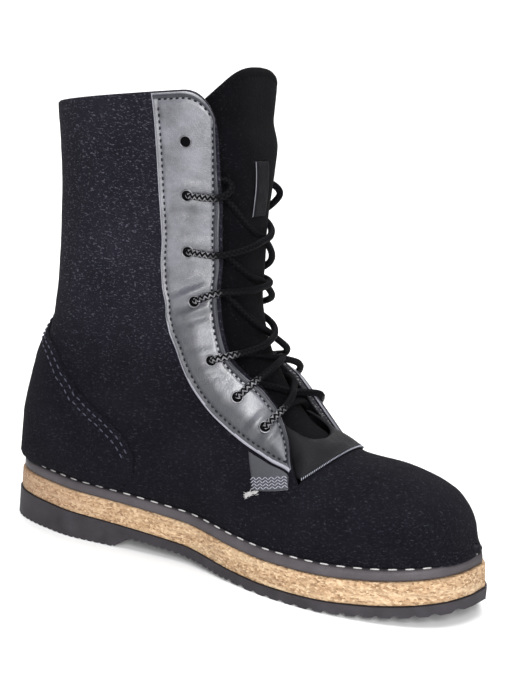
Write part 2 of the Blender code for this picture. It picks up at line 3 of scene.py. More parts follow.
import bmesh
import bpy
import numpy as np
from mathutils import Matrix, Vector, noise


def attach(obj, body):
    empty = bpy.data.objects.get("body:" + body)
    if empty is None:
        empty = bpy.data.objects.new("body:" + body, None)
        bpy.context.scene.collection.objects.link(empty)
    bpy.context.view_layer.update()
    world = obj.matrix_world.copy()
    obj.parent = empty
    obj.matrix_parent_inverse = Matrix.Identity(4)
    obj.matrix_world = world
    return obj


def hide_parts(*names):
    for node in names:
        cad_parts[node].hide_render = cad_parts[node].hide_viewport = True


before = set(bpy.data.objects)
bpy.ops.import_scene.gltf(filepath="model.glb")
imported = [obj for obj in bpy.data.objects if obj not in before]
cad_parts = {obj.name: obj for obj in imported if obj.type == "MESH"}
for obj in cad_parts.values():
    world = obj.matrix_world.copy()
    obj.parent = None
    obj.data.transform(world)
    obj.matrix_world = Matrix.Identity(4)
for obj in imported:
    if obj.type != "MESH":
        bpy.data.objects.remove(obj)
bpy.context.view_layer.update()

MILLIMETRE = 0.001
SOLE_LENGTH = 290.0
BALL_WIDTH = 112.0
COLLAR_HEIGHT = 256.0
HEEL_HEIGHT = 16.5
TOE_SPRING = 9.0
FELT = 3.5
LEATHER = 1.5
GAP = 0.3
CORK = 12.3
WELT = 5.4
RUBBER = 5.2
UPPER_INSET = 5.5
INSOLE = 4.0
COUNTER = 2.8
BED_INSET = 13.3
LACE_RADIUS = 2.0
EYELET_RADIUS = 3.5
TONGUE_CLEAR = 5.4

# Sole outline: place along the length, medial and lateral half width as shares of the ball width.
OUTLINE_COLUMNS = ("along", "medial", "lateral")
OUTLINE = (
    (0.000, 0.000, 0.000), (0.020, 0.147, 0.152), (0.060, 0.238, 0.250), (0.120, 0.298, 0.326),
    (0.200, 0.339, 0.353), (0.310, 0.321, 0.357), (0.428, 0.309, 0.402), (0.560, 0.402, 0.482),
    (0.667, 0.467, 0.518), (0.748, 0.483, 0.513), (0.834, 0.453, 0.446), (0.907, 0.388, 0.325),
    (0.959, 0.291, 0.190), (0.990, 0.150, 0.060), (1.000, 0.018, -0.018),
)

# Underside of the midsole above the floor, as a share of the heel height, before the toe spring.
RISE_COLUMNS = ("along", "rise")
RISE = ((0.0, 1.00), (0.22, 0.86), (0.43, 0.62), (0.634, 0.34), (0.841, 0.35), (1.0, 0.37))

# Sections of the upper from toe tip to above the collar. The base runs along the sole and then up the back.
# base_z is a share of the collar height, or None where the base rests on the welt.
SECTION_COLUMNS = ("base_x", "base_z", "front_x", "front_z", "ridge_y", "medial", "lateral",
                   "widest_at", "top_power", "low_power")
SECTIONS = (
    (0.9795, None, 0.9780, 0.1426, -0.018, 0.035, 0.005, 0.30, 2.2, 2.0),
    (0.9600, None, 0.9670, 0.172, -0.026, 0.185, 0.105, 0.30, 2.2, 2.0),
    (0.9290, None, 0.9485, 0.204, -0.026, 0.290, 0.205, 0.30, 2.2, 2.0),
    (0.8820, None, 0.9120, 0.237, -0.018, 0.372, 0.320, 0.30, 2.2, 2.0),
    (0.8140, None, 0.8550, 0.257, -0.004, 0.428, 0.426, 0.30, 2.1, 2.0),
    (0.7520, None, 0.7890, 0.267, 0.004, 0.450, 0.482, 0.30, 2.1, 2.0),
    (0.7000, None, 0.7172, 0.274, 0.008, 0.446, 0.487, 0.30, 2.0, 2.0),
    (0.6207, None, 0.6630, 0.306, 0.008, 0.420, 0.470, 0.30, 2.0, 2.0),
    (0.5172, None, 0.6190, 0.362, 0.008, 0.380, 0.434, 0.31, 2.1, 2.0),
    (0.3862, None, 0.5740, 0.430, 0.004, 0.362, 0.395, 0.33, 2.3, 2.0),
    (0.2414, None, 0.5379, 0.506, 0.000, 0.357, 0.371, 0.35, 2.6, 2.1),
    (0.1310, None, 0.5190, 0.586, 0.000, 0.353, 0.357, 0.35, 2.9, 2.2),
    (0.0500, None, 0.5138, 0.641, 0.000, 0.348, 0.350, 0.34, 3.1, 2.4),
    (0.0220, None, 0.5110, 0.680, 0.000, 0.344, 0.344, 0.34, 3.2, 2.5),
    (0.0240, 0.227, 0.5100, 0.715, 0.000, 0.340, 0.340, 0.34, 3.2, 2.5),
    (0.0460, 0.363, 0.5100, 0.764, 0.000, 0.340, 0.340, 0.36, 3.2, 2.5),
    (0.0720, 0.492, 0.5117, 0.815, 0.000, 0.353, 0.353, 0.39, 3.2, 2.4),
    (0.0760, 0.645, 0.5110, 0.872, 0.000, 0.380, 0.380, 0.42, 3.2, 2.3),
    (0.0710, 0.809, 0.5090, 0.940, 0.000, 0.416, 0.416, 0.45, 3.2, 2.3),
    (0.0590, 0.949, 0.5069, 1.014, 0.000, 0.451, 0.451, 0.47, 3.2, 2.3),
    (0.0520, 1.047, 0.5034, 1.090, 0.000, 0.478, 0.478, 0.47, 3.2, 2.3),
)
COLLAR_ROW = 19.0
HEEL_ROW = 13.0
LOW_SHARE = 0.4

# Edge of the flap and back edge of the eyestay, as shares of the section from base to front centre.
FLAP_COLUMNS = ("row", "edge", "stay_back")
FLAP = (
    (6.6, 0.636, 0.636), (7.06, 0.695, 0.652), (7.64, 0.775, 0.620), (8.42, 0.812, 0.585),
    (8.9, 0.803, 0.573), (9.42, 0.764, 0.565), (10.2, 0.731, 0.563), (11.6, 0.739, 0.566),
    (13.4, 0.752, 0.560), (15.5, 0.720, 0.508), (17.2, 0.690, 0.474), (19.0, 0.677, 0.452),
    (20.0, 0.672, 0.440),
)
TOE_EDGE_ROW = 6.6

# Eyelets from the top of the flap down.
EYELETS = ((17.88, 0.556), (16.66, 0.567), (14.92, 0.604), (12.50, 0.649), (10.25, 0.657),
           (9.19, 0.677), (8.25, 0.698))
EYELET_NUMBERS = range(1, len(EYELETS) + 1)

# The lateral flap stands further back from the centre line, by this share of the section, above these rows.
LATERAL_OPEN = 0.10
OPEN_ROWS = (8.4, 11.2)

# The laces of the lowest eyelets run square to the instep, those at the top run level
# and those between run half way.
LEVEL_FROM = 5
HALF_SQUARE = (4, 5)
INSTEP_DROP = 0.15

# Upper edge of the heel counter.
COUNTER_COLUMNS = ("row", "edge")
COUNTER_EDGE = ((9.55, 0.10), (9.69, 0.22), (9.9, 0.308), (10.5, 0.378), (11.33, 0.400), (12.3, 0.402),
                (13.39, 0.400), (14.21, 0.364), (14.75, 0.309), (15.2, 0.230), (15.6, 0.130), (15.9, 0.060))

# Half width of the tongue under the flaps.
TONGUE_COLUMNS = ("row", "edge")
TONGUE_EDGE = ((6.3, 0.76), (7.0, 0.70), (8.0, 0.665), (10.0, 0.60), (13.0, 0.560), (16.0, 0.535),
               (20.0, 0.525))
TONGUE_FOOT_ROW = 6.3
TONGUE_TOP_ROW = 19.62
TONGUE_SIDE_ROW = 18.2

SIDES = ((-1, "medial"), (1, "lateral"))

# Middle of the boot's box in the tables' frame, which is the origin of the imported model.
CENTRE = np.array((145.0, 1.995, 0.0))


# The last

def spline(knots, values, t):
    """Smooth curve through a short table, with slopes limited so that it does not overshoot."""
    knots = np.asarray(knots, float)
    values = np.asarray(values, float)
    t = np.clip(t, knots[0], knots[-1])
    step = np.diff(knots)
    rate = np.diff(values) / step
    product = rate[:-1] * rate[1:]
    total = np.where(product > 0.0, rate[:-1] + rate[1:], 1.0)
    inner = np.where(product > 0.0, 2.0 * product / total, 0.0)
    slope = np.concatenate([rate[:1], inner, rate[-1:]])
    i = np.clip(np.searchsorted(knots, t, side="left") - 1, 0, len(knots) - 2)
    s = (t - knots[i]) / step[i]
    a = 2 * s ** 3 - 3 * s ** 2 + 1
    b = s ** 3 - 2 * s ** 2 + s
    c = s ** 3 - s ** 2
    return a * values[i] + b * step[i] * slope[i] + (1 - a) * values[i + 1] + c * step[i] * slope[i + 1]


def eased(value, low, high):
    """Share of the way from low to high, with soft ends."""
    share = np.clip((value - low) / (high - low), 0.0, 1.0)
    return share * share * (3.0 - 2.0 * share)


def column(table, columns, name):
    return [row[columns.index(name)] for row in table]


def lookup(table, columns, name, row):
    return spline(column(table, columns, columns[0]), column(table, columns, name), row)


def half_width(x, side, inset=0.0):
    """Half width of the sole outline at x, drawn in all round by the inset."""
    along = (x - inset) / (SOLE_LENGTH - 2 * inset)
    share = lookup(OUTLINE, OUTLINE_COLUMNS, "medial" if side < 0 else "lateral", along)
    return share * BALL_WIDTH * (1.0 - inset / (0.5 * BALL_WIDTH))


def on_sole(x):
    """Place along the sole, kept between the heel back and the toe tip."""
    return np.clip(x, 0.0, SOLE_LENGTH)


def toe_spring(x):
    start = 0.666 * SOLE_LENGTH
    return TOE_SPRING * (np.maximum(0.0, x - start) / (SOLE_LENGTH - start)) ** 2


def cork_low(x):
    return HEEL_HEIGHT * lookup(RISE, RISE_COLUMNS, "rise", x / SOLE_LENGTH) + toe_spring(x)


def cork_top(x):
    return cork_low(x) + CORK


def welt_top(x):
    return cork_top(x) + GAP + WELT


ROWS = np.arange(len(SECTIONS), dtype=float)
SECTION = {name: column(SECTIONS, SECTION_COLUMNS, name) for name in SECTION_COLUMNS}


def section(row):
    """Sizes of the sections of the upper, at any places between the rows of the table."""
    size = {name: spline(ROWS, SECTION[name], row) for name in SECTION_COLUMNS if name != "base_z"}
    base_x = size["base_x"] * SOLE_LENGTH
    heights = []
    for share, place in zip(SECTION["base_z"], SECTION["base_x"]):
        heights.append(welt_top(place * SOLE_LENGTH) + GAP if share is None else share * COLLAR_HEIGHT)
    base_z = np.where(row <= HEEL_ROW, welt_top(base_x) + GAP, spline(ROWS, heights, row))
    size["base"] = (base_x, base_z)
    size["front"] = (size["front_x"] * SOLE_LENGTH, size["front_z"] * COLLAR_HEIGHT)
    return size


def last_point(row, across, side):
    """Outer face of the felt: across runs 0 at the base to 1 on the front centre line, on one side."""
    row, across = np.broadcast_arrays(np.asarray(row, float), np.asarray(across, float))
    size = section(row)
    base_x, base_z = size["base"]
    front_x, front_z = size["front"]
    wide = size["medial" if side < 0 else "lateral"] * BALL_WIDTH
    foot = np.where(row < HEEL_ROW, np.maximum(0.0, half_width(base_x, side, UPPER_INSET)), 0.0)
    high = size["widest_at"]
    power = 2.0 / size["low_power"]
    start = np.arcsin(np.minimum(0.96, foot / wide) ** (1.0 / power))
    turn = start + (0.5 * np.pi - start) * np.clip(across / LOW_SHARE, 0.0, 1.0)
    first_out, first_up = np.sin(start) ** power, np.cos(start) ** power
    low_out = foot + (wide - foot) * (np.sin(turn) ** power - first_out) / (1.0 - first_out)
    low_up = high * (first_up - np.maximum(0.0, np.cos(turn)) ** power) / first_up
    turn = 0.5 * np.pi * np.clip((across - LOW_SHARE) / (1.0 - LOW_SHARE), 0.0, 1.0)
    power = 2.0 / size["top_power"]
    lean = size["ridge_y"] * BALL_WIDTH * side
    top_out = lean + (wide - lean) * np.maximum(0.0, np.cos(turn)) ** power
    top_up = high + (1.0 - high) * np.sin(turn) ** power
    low = across < LOW_SHARE
    out, up = np.where(low, low_out, top_out), np.where(low, low_up, top_up)
    return np.stack([base_x + (front_x - base_x) * up, side * out, base_z + (front_z - base_z) * up], -1)


def unit(v):
    return v / np.maximum(1e-9, np.linalg.norm(v, axis=-1, keepdims=True))


def last_normal(row, across, side):
    """Outward direction of the last."""
    row, across = np.broadcast_arrays(np.asarray(row, float), np.asarray(across, float))
    along = last_point(np.minimum(20.0, row + 0.05), across, side)
    along = along - last_point(np.maximum(0.0, row - 0.05), across, side)
    around = last_point(row, np.minimum(1.0, across + 0.012), side)
    around = around - last_point(row, np.maximum(0.0, across - 0.012), side)
    normal = np.cross(along, around)
    centred = (across >= 1.0) | ((across <= 0.0) & (row >= HEEL_ROW))
    normal[..., 1] = np.where(centred, 0.0, normal[..., 1])
    normal = unit(normal)
    size = section(row)
    middle = np.stack([0.5 * (size["base"][0] + size["front"][0]), size["ridge_y"] * BALL_WIDTH + 0.0 * row,
                       0.5 * (size["base"][1] + size["front"][1])], -1)
    inward = np.sum(normal * (last_point(row, across, side) - middle), -1, keepdims=True) < 0.0
    return np.where(inward, -normal, normal)


def lifted(row, across, side, lift):
    return last_point(row, across, side) + last_normal(row, across, side) * lift


def opened(row, side):
    """Share of the section by which the flap of one side is set back."""
    return (LATERAL_OPEN if side > 0 else 0.0) * eased(row, *OPEN_ROWS)


def flap_edge(row, side):
    return lookup(FLAP, FLAP_COLUMNS, "edge", row) - opened(row, side)


def stay_back(row, side):
    return lookup(FLAP, FLAP_COLUMNS, "stay_back", row) - opened(row, side)


def eyelet_place(number, side):
    row, across = EYELETS[number - 1]
    return row, across - float(opened(row, side))


def shaft_share(row):
    """Share of the way from the heel row up to the collar."""
    return np.clip((row - HEEL_ROW) / (COLLAR_ROW - HEEL_ROW), 0.0, 1.0)


def collar_drop(share):
    """Rows by which the front corner of the collar is rounded off."""
    turn = np.clip((share - 0.80) / 0.20, 0.0, 1.0)
    return 1.25 * (1.0 - np.sqrt(np.maximum(0.0, 1.0 - turn * turn)))


# Meshes

def lattice(first, second):
    """Two grids of values, one that changes from row to row and one along each row."""
    return np.meshgrid(first, second, indexing="ij")


def grid_faces(rows, columns, flip=False, first=0):
    """Quads of a grid of points laid out row by row."""
    i, j = lattice(np.arange(rows - 1), np.arange(columns - 1))
    a = first + i * columns + j
    quads = np.stack([a, a + 1, a + columns + 1, a + columns], -1).reshape(-1, 4)
    return quads[:, ::-1] if flip else quads


def loop_faces(rows, columns, ring=False):
    """Quads between closed loops of points, and for a ring from the last loop back to the first."""
    i, j = lattice(np.arange(rows if ring else rows - 1), np.arange(columns))
    above, after = (i + 1) % rows, (j + 1) % columns
    corners = [i * columns + j, i * columns + after, above * columns + after, above * columns + j]
    return np.stack(corners, -1).reshape(-1, 4)


def joined_sheets(sheets):
    """Points and quads of several grids, each with a flag for turning its faces over."""
    points, faces, first = [], [], 0
    for grid, flip in sheets:
        points.append(grid.reshape(-1, 3))
        faces.append(grid_faces(*grid.shape[:2], flip=flip, first=first))
        first += len(points[-1])
    return np.concatenate(points), np.concatenate(faces)


def weld(points, faces, extra=()):
    """Merges points that coincide and drops faces that collapse; returns points and faces."""
    keys = np.round(points / 0.01).astype(np.int64)
    _, first, back = np.unique(keys, axis=0, return_index=True, return_inverse=True)
    back = back.reshape(-1)
    result = []
    for face in list(faces) + list(extra):
        corners = []
        for mark in back[np.asarray(face)].tolist():
            if mark not in corners:
                corners.append(mark)
        if len(corners) > 2:
            result.append(tuple(corners))
    return points[first], result


def mesh_normals(points, faces):
    """Smooth direction at each point of a mesh, on the side that its faces are turned to."""
    total = np.zeros_like(points)
    for face in faces:
        p = points[list(face)]
        if len(face) == 4:
            n = np.cross(p[2] - p[0], p[3] - p[1])
        else:
            n = sum(np.cross(p[k] - p[0], p[k + 1] - p[0]) for k in range(1, len(face) - 1))
        for mark in face:
            total[mark] += n
    return unit(total)


def turned_out(points, faces, inside):
    """Faces and smooth normals of an open mesh, turned away from a place inside it."""
    normals = mesh_normals(points, faces)
    if np.sum(normals * (points - inside)) < 0.0:
        return [tuple(reversed(face)) for face in faces], -normals
    return faces, normals


def rim_edges(faces):
    """Directed edges that belong to one face only."""
    uses = {}
    for face in faces:
        for a, b in zip(face, face[1:] + face[:1]):
            uses.setdefault((min(a, b), max(a, b)), []).append((a, b))
    return [edge[0] for edge in uses.values() if len(edge) == 1]


def rim_marks(faces, count):
    """True for each point of a mesh that lies on its rim."""
    marks = np.zeros(count, bool)
    marks[np.array(rim_edges(faces)).ravel()] = True
    return marks


def build(name, points, faces, materials, slots=None, uv=None):
    """New smooth object from points in the tables' frame."""
    mesh = bpy.data.meshes.new(name)
    mesh.from_pydata(((np.asarray(points) - CENTRE) * MILLIMETRE).tolist(), [], [tuple(f) for f in faces])
    for material in materials:
        mesh.materials.append(material)
    if slots is not None:
        mesh.polygons.foreach_set("material_index", np.asarray(slots, np.int32))
    mesh.polygons.foreach_set("use_smooth", np.ones(len(mesh.polygons), bool))
    if uv is not None:
        marks = np.zeros(len(mesh.loops), np.int32)
        mesh.loops.foreach_get("vertex_index", marks)
        mesh.uv_layers.new(name="UVMap").data.foreach_set("uv", np.asarray(uv)[marks].ravel())
    mesh.update()
    thing = bpy.data.objects.new(name, mesh)
    bpy.context.scene.collection.objects.link(thing)
    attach(thing, "root")
    return thing


def face_outward(thing):
    """Turns a closed mesh right side out."""
    work = bmesh.new()
    work.from_mesh(thing.data)
    bmesh.ops.recalc_face_normals(work, faces=work.faces)
    if work.calc_volume(signed=True) < 0.0:
        bmesh.ops.reverse_faces(work, faces=work.faces)
    work.to_mesh(thing.data)
    work.free()


def shell(name, points, normals, faces, low, high, materials, uv=None):
    """Closed solid between two lifts of one surface: face, back and rim take the three materials."""
    count = len(points)
    low = np.broadcast_to(low, (count,))[:, None]
    high = np.broadcast_to(high, (count,))[:, None]
    both = np.concatenate([points + normals * high, points + normals * low])
    faces = [tuple(f) for f in faces]
    back = [tuple(k + count for k in reversed(f)) for f in faces]
    rim = [(b, a, a + count, b + count) for a, b in rim_edges(faces)]
    slots = np.repeat((0, 1, 2), (len(faces), len(back), len(rim)))
    both_uv = None if uv is None else np.concatenate([uv, uv])
    return build(name, both, faces + back + rim, materials, slots, both_uv)


def sheet(name, grid, normals, low, high, materials, flip=False, uv=None):
    """Closed solid between two lifts of a grid on the last, right side out."""
    faces = grid_faces(*grid.shape[:2], flip=flip)
    thing = shell(name, grid.reshape(-1, 3), normals.reshape(-1, 3), faces, low, high, materials, uv)
    face_outward(thing)
    return thing


def noise_at(points, size, seed):
    """Smooth noise from -1 to 1 with bumps of about the given size."""
    shift = Vector((17.3 * seed, 5.1 * seed, 9.7 * seed))
    return np.array([noise.noise(Vector(p) / size + shift) for p in points])


def border_distance(grid):
    """Distance of each grid point from the left, right, low and high border, along the grid lines."""
    across = np.linalg.norm(np.diff(grid, axis=1), axis=-1)
    along = np.linalg.norm(np.diff(grid, axis=0), axis=-1)
    left = np.concatenate([np.zeros((grid.shape[0], 1)), np.cumsum(across, 1)], 1)
    low = np.concatenate([np.zeros((1, grid.shape[1])), np.cumsum(along, 0)], 0)
    return left, left[:, -1:] - left, low, low[-1:] - low


def nearest(*distances):
    """Distance from the nearest of several borders, point by point."""
    return np.minimum.reduce(distances).reshape(-1)


def rounded(distance, reach):
    """Height of a rounded edge, from 0 on the border to 1 at its reach."""
    return np.sqrt(np.clip(distance / reach, 0.0, 1.0))


def path_run(points):
    """Length of a path up to each of its points."""
    return np.concatenate([[0.0], np.cumsum(np.linalg.norm(np.diff(points, axis=0), axis=1))])


def path_at(places, run, values):
    """Values along a path, read off at some lengths of its run."""
    return np.stack([np.interp(places, run, values[:, k]) for k in range(values.shape[1])], 1)


def even_path(points, spacing):
    """Points along a path at even spacing."""
    points = np.asarray(points, float)
    run = path_run(points)
    count = max(2, int(round(run[-1] / spacing)) + 1)
    return path_at(np.linspace(0.0, run[-1], count), run, points)


def softened(path, reach):
    """Path with its corners rounded over the given number of steps, ends kept."""
    pad = 3 * reach
    kernel = np.exp(-0.5 * (np.arange(-pad, pad + 1) / reach) ** 2)
    kernel /= kernel.sum()
    front = 2 * path[0] - path[1:pad + 1][::-1]
    back = 2 * path[-1] - path[-pad - 1:-1][::-1]
    full = np.concatenate([front, path, back])
    return np.stack([np.convolve(full[:, k], kernel, "valid") for k in range(3)], 1)


# Stitches

def capsule(sides=7, rings=6):
    """Unit capsule along X, from -1 to 1, with unit radius."""
    points = []
    for k in range(rings + 1):
        turn = math.pi * k / rings
        for s in range(sides):
            angle = 2.0 * math.pi * s / sides
            radius = math.sin(turn) ** 0.6 if 0 < k < rings else 0.18
            points.append((-math.cos(turn), radius * math.cos(angle), radius * math.sin(angle)))
    faces = loop_faces(rings + 1, sides).tolist()
    faces.append(tuple(reversed(range(sides))))
    faces.append(tuple(range(rings * sides, (rings + 1) * sides)))
    return np.array(points), faces


CAPSULE = capsule()


def stitches(name, places, along, up, length, radius, material, thick=None):
    """Many short threads in one mesh: each at a place, along a direction, flat against a surface."""
    shape, shape_faces = CAPSULE
    along, up = unit(np.asarray(along)), unit(np.asarray(up))
    cross = unit(np.cross(up, along))
    up = np.cross(along, cross)
    thick = radius if thick is None else thick
    points = places[:, None, :] + along[:, None, :] * shape[None, :, 0:1] * 0.5 * length
    points = points + cross[:, None, :] * shape[None, :, 1:2] * radius
    points = points + up[:, None, :] * shape[None, :, 2:3] * thick
    count = len(shape)
    faces = [tuple(m + k * count for m in face) for k in range(len(places)) for face in shape_faces]
    return build(name, points.reshape(-1, 3), faces, [material])


def stitch_line(path, normals, pitch):
    """Places, directions and normals at even steps along a path on a surface."""
    run = path_run(path)
    places = np.arange(0.5 * pitch, run[-1], pitch)
    ahead, behind = path_at(places + 0.3, run, path), path_at(places - 0.3, run, path)
    return path_at(places, run, path), unit(ahead - behind), unit(path_at(places, run, normals))


def gathered(lines):
    """Places, directions and normals of several stitch lines in one."""
    return [np.concatenate(parts) for parts in zip(*lines)]


def inset_path(grid, directions, distance, inset):
    """Line across the rows of a grid at a set distance from one border, with its normals."""
    path, normal = [], []
    for points, ups, far in zip(grid, directions, distance):
        order = np.argsort(far)
        path.append([np.interp(inset, far[order], points[order, k]) for k in range(3)])
        normal.append([np.interp(inset, far[order], ups[order, k]) for k in range(3)])
    return np.array(path), unit(np.array(normal))


def inset_along(grid, directions, distance, inset):
    """Line along the rows of a grid at a set distance from one border, with its normals."""
    turned = [np.swapaxes(part, 0, 1) for part in (grid, directions, distance)]
    return inset_path(*turned, inset)


# Materials

class Shader:
    """A Principled material with a few helpers to add texture nodes."""

    def __init__(self, name, colour, rough, metal=0.0):
        self.material = bpy.data.materials.new(name)
        self.material.use_nodes = True
        self.tree = self.material.node_tree
        self.main = self.tree.nodes["Principled BSDF"]
        self.set(Base_Color=(*colour, 1.0), Roughness=rough, Metallic=metal)
        self.place = self.tree.nodes.new("ShaderNodeTexCoord").outputs["Object"]

    def put(self, kind, inputs=(), **settings):
        """New node with its settings, and with each input linked or set."""
        node = self.tree.nodes.new(kind)
        for key, value in settings.items():
            setattr(node, key, value)
        for key, value in dict(inputs).items():
            if isinstance(value, bpy.types.NodeSocket):
                self.tree.links.new(value, node.inputs[key])
            else:
                node.inputs[key].default_value = value
        return node

    def noise(self, scale, detail, rough, place=None):
        inputs = {"Vector": place or self.place, "Scale": scale, "Detail": detail, "Roughness": rough}
        return self.put("ShaderNodeTexNoise", inputs).outputs["Fac"]

    def cells(self, scale, place=None, feature="F1"):
        inputs = {"Vector": place or self.place, "Scale": scale}
        return self.put("ShaderNodeTexVoronoi", inputs, feature=feature).outputs

    def ramp(self, value, stops):
        node = self.put("ShaderNodeValToRGB", {"Fac": value})
        elements = node.color_ramp.elements
        while len(elements) < len(stops):
            elements.new(0.5)
        for element, (at, colour) in zip(elements, stops):
            element.position = at
            element.color = (*colour, 1.0)
        return node.outputs["Color"]

    def fade(self, value, low, high, first=0.0, last=1.0):
        """Ramp from one grey to another between two values."""
        return self.ramp(value, ((low, (first,) * 3), (high, (last,) * 3)))

    def range(self, value, low, high, first=0.0, last=1.0, kind="LINEAR"):
        inputs = {"Value": value, "From Min": low, "From Max": high, "To Min": first, "To Max": last}
        return self.put("ShaderNodeMapRange", inputs, interpolation_type=kind).outputs["Result"]

    def mix(self, share, first, second):
        """Blend of two colours, set through the node's colour sockets."""
        return self.put("ShaderNodeMix", {0: share, 6: first, 7: second}, data_type="RGBA").outputs[2]

    def math(self, how, first, second=0.0):
        return self.put("ShaderNodeMath", {0: first, 1: second}, operation=how).outputs[0]

    def parts(self, place=None):
        """X, Y and Z outputs of a place."""
        return self.put("ShaderNodeSeparateXYZ", {"Vector": place or self.place}).outputs

    def layout(self):
        """X and Y outputs of the mesh's own layout."""
        return self.parts(self.put("ShaderNodeUVMap", uv_map="UVMap").outputs["UV"])

    def stretched(self, scale, turn=(0.0, 0.0, 0.0)):
        inputs = {"Vector": self.place, "Scale": scale, "Rotation": turn}
        return self.put("ShaderNodeMapping", inputs).outputs["Vector"]

    def link(self, value, socket):
        self.tree.links.new(value, self.main.inputs[socket])

    def bump(self, height, distance, strength):
        """Adds a bump on top of those that are there."""
        before = self.main.inputs["Normal"].links
        inputs = {"Height": height, "Distance": distance, "Strength": strength}
        if before:
            inputs["Normal"] = before[0].from_socket
        self.link(self.put("ShaderNodeBump", inputs).outputs["Normal"], "Normal")

    def set(self, **values):
        for name, value in values.items():
            self.main.inputs[name.replace("_", " ")].default_value = value


SOFT = "SMOOTHSTEP"

# Heights in metres between which painted light turns the felt paler, a painted highlight turns the facing
# paler and the facing is dull.
SHAFT_RISE = (0.085, 0.165)
HIGHLIGHT_RISE = (0.085, 0.19)
DULL_RISE = (0.070, 0.105)

# Shares of the facing's width and length over which painted shade falls on its lower back.
SHADE_ACROSS = (0.32, 0.56)
SHADE_ALONG = (0.40, 0.58)

FLECK_TURNS = ((0.3, 0.2, 0.5), (1.1, 0.7, 2.1), (2.3, 1.4, 0.9))
FLECK_SOFT = 0.11


def felt_material(name, dark, light, fleck, share, lit_shaft=None):
    """Dense felt: mottled ground, fine pale fibres and a soft nap, and if given a shaft tone, painted light
    that turns it paler up the shaft, where its pale flecks show more.
    """
    s = Shader(name, dark, 0.95)
    ground = s.ramp(s.noise(30.0, 4.0, 0.6), ((0.3, dark), (0.75, light)))
    shown = 1.0
    if lit_shaft:
        # Painted light: the ground and its flecks turn paler up the shaft, where more light falls on it.
        shaft = s.range(s.parts()["Z"], *SHAFT_RISE, kind=SOFT)
        cloud = s.math("MULTIPLY", shaft, s.fade(s.noise(22.0, 4.0, 0.65), 0.3, 0.7, 0.25))
        ground = s.mix(cloud, ground, (*lit_shaft, 1.0))
        shown = s.math("ADD", s.math("MULTIPLY", shaft, 0.75), 0.25)
    ground = s.mix(s.fade(s.noise(750.0, 4.0, 0.7), 0.45, 0.75), ground, (*light, 1.0))
    for k, turn in enumerate(FLECK_TURNS):
        strands = s.noise(430.0 + 90.0 * k, 2.0, 0.5, s.stretched((1.0, 1.0, 2.2), turn))
        mask = s.fade(strands, share, share + FLECK_SOFT)
        ground = s.mix(s.math("MULTIPLY", mask, shown), ground, (*fleck, 1.0))
    s.link(ground, "Base Color")
    s.bump(s.noise(620.0, 4.0, 0.7), 0.0007, 0.8)
    s.bump(s.noise(150.0, 3.0, 0.6), 0.0009, 0.5)
    s.set(Sheen_Weight=0.008, Sheen_Roughness=0.6, Specular_IOR_Level=0.04)
    return s.material


def leather_material(name, dark, light, rough, coat, shine, lit_tone=None):
    """Smooth leather: fine pebble grain, faint cloudiness and a half-gloss finish.

    If given a lit tone, a painted highlight turns it paler towards the top and front, and painted shade cuts
    its coat and dulls it over its lower back.
    """
    s = Shader(name, dark, rough)
    cloud = s.ramp(s.noise(38.0, 4.0, 0.6), ((0.28, dark), (0.75, light)))
    gloss = s.fade(s.noise(120.0, 3.0, 0.6), 0.3, 0.75, rough - 0.06, rough + 0.1)
    if lit_tone:
        height, layout = s.parts()["Z"], s.layout()
        back = s.range(layout["X"], *SHADE_ACROSS, 1.0, 0.0, SOFT)
        foot = s.range(layout["Y"], *SHADE_ALONG, 1.0, 0.0, SOFT)
        shade = s.math("MULTIPLY", back, foot)
        # Painted highlight: the lit tone towards the top, and at the front of the facing's foot.
        high = s.range(height, *HIGHLIGHT_RISE, kind=SOFT)
        high = s.math("MAXIMUM", high, s.math("MULTIPLY", foot, s.math("SUBTRACT", 1.0, back)))
        painted_light = s.math("MULTIPLY", high, s.fade(s.noise(48.0, 5.0, 0.7), 0.34, 0.64))
        cloud = s.mix(painted_light, cloud, (*lit_tone, 1.0))
        gloss = s.math("ADD", gloss, s.range(height, *DULL_RISE, 0.22, 0.0))
        gloss = s.math("ADD", gloss, s.math("MULTIPLY", shade, 0.16))
        # Painted shade: the coat is cut away over the lower back, and over all of a facing with no layout,
        # such as the tabs.
        left_over = s.math("SUBTRACT", 1.0, s.math("MULTIPLY", shade, 0.95))
        s.link(s.math("MULTIPLY", left_over, coat), "Coat Weight")
    s.link(cloud, "Base Color")
    s.link(gloss, "Roughness")
    pores = s.cells(900.0, feature="DISTANCE_TO_EDGE")["Distance"]
    s.bump(s.fade(pores, 0.0, 0.22), 0.00012, 0.55)
    s.bump(s.noise(220.0, 4.0, 0.6), 0.0005, 0.35)
    s.set(Coat_Weight=coat, Coat_Roughness=0.3, Specular_IOR_Level=shine)
    return s.material


CORK_GRAINS = ((0.0, (0.175, 0.100, 0.050)), (0.30, (0.29, 0.178, 0.094)), (0.70, (0.40, 0.262, 0.150)),
               (1.0, (0.52, 0.380, 0.240)))


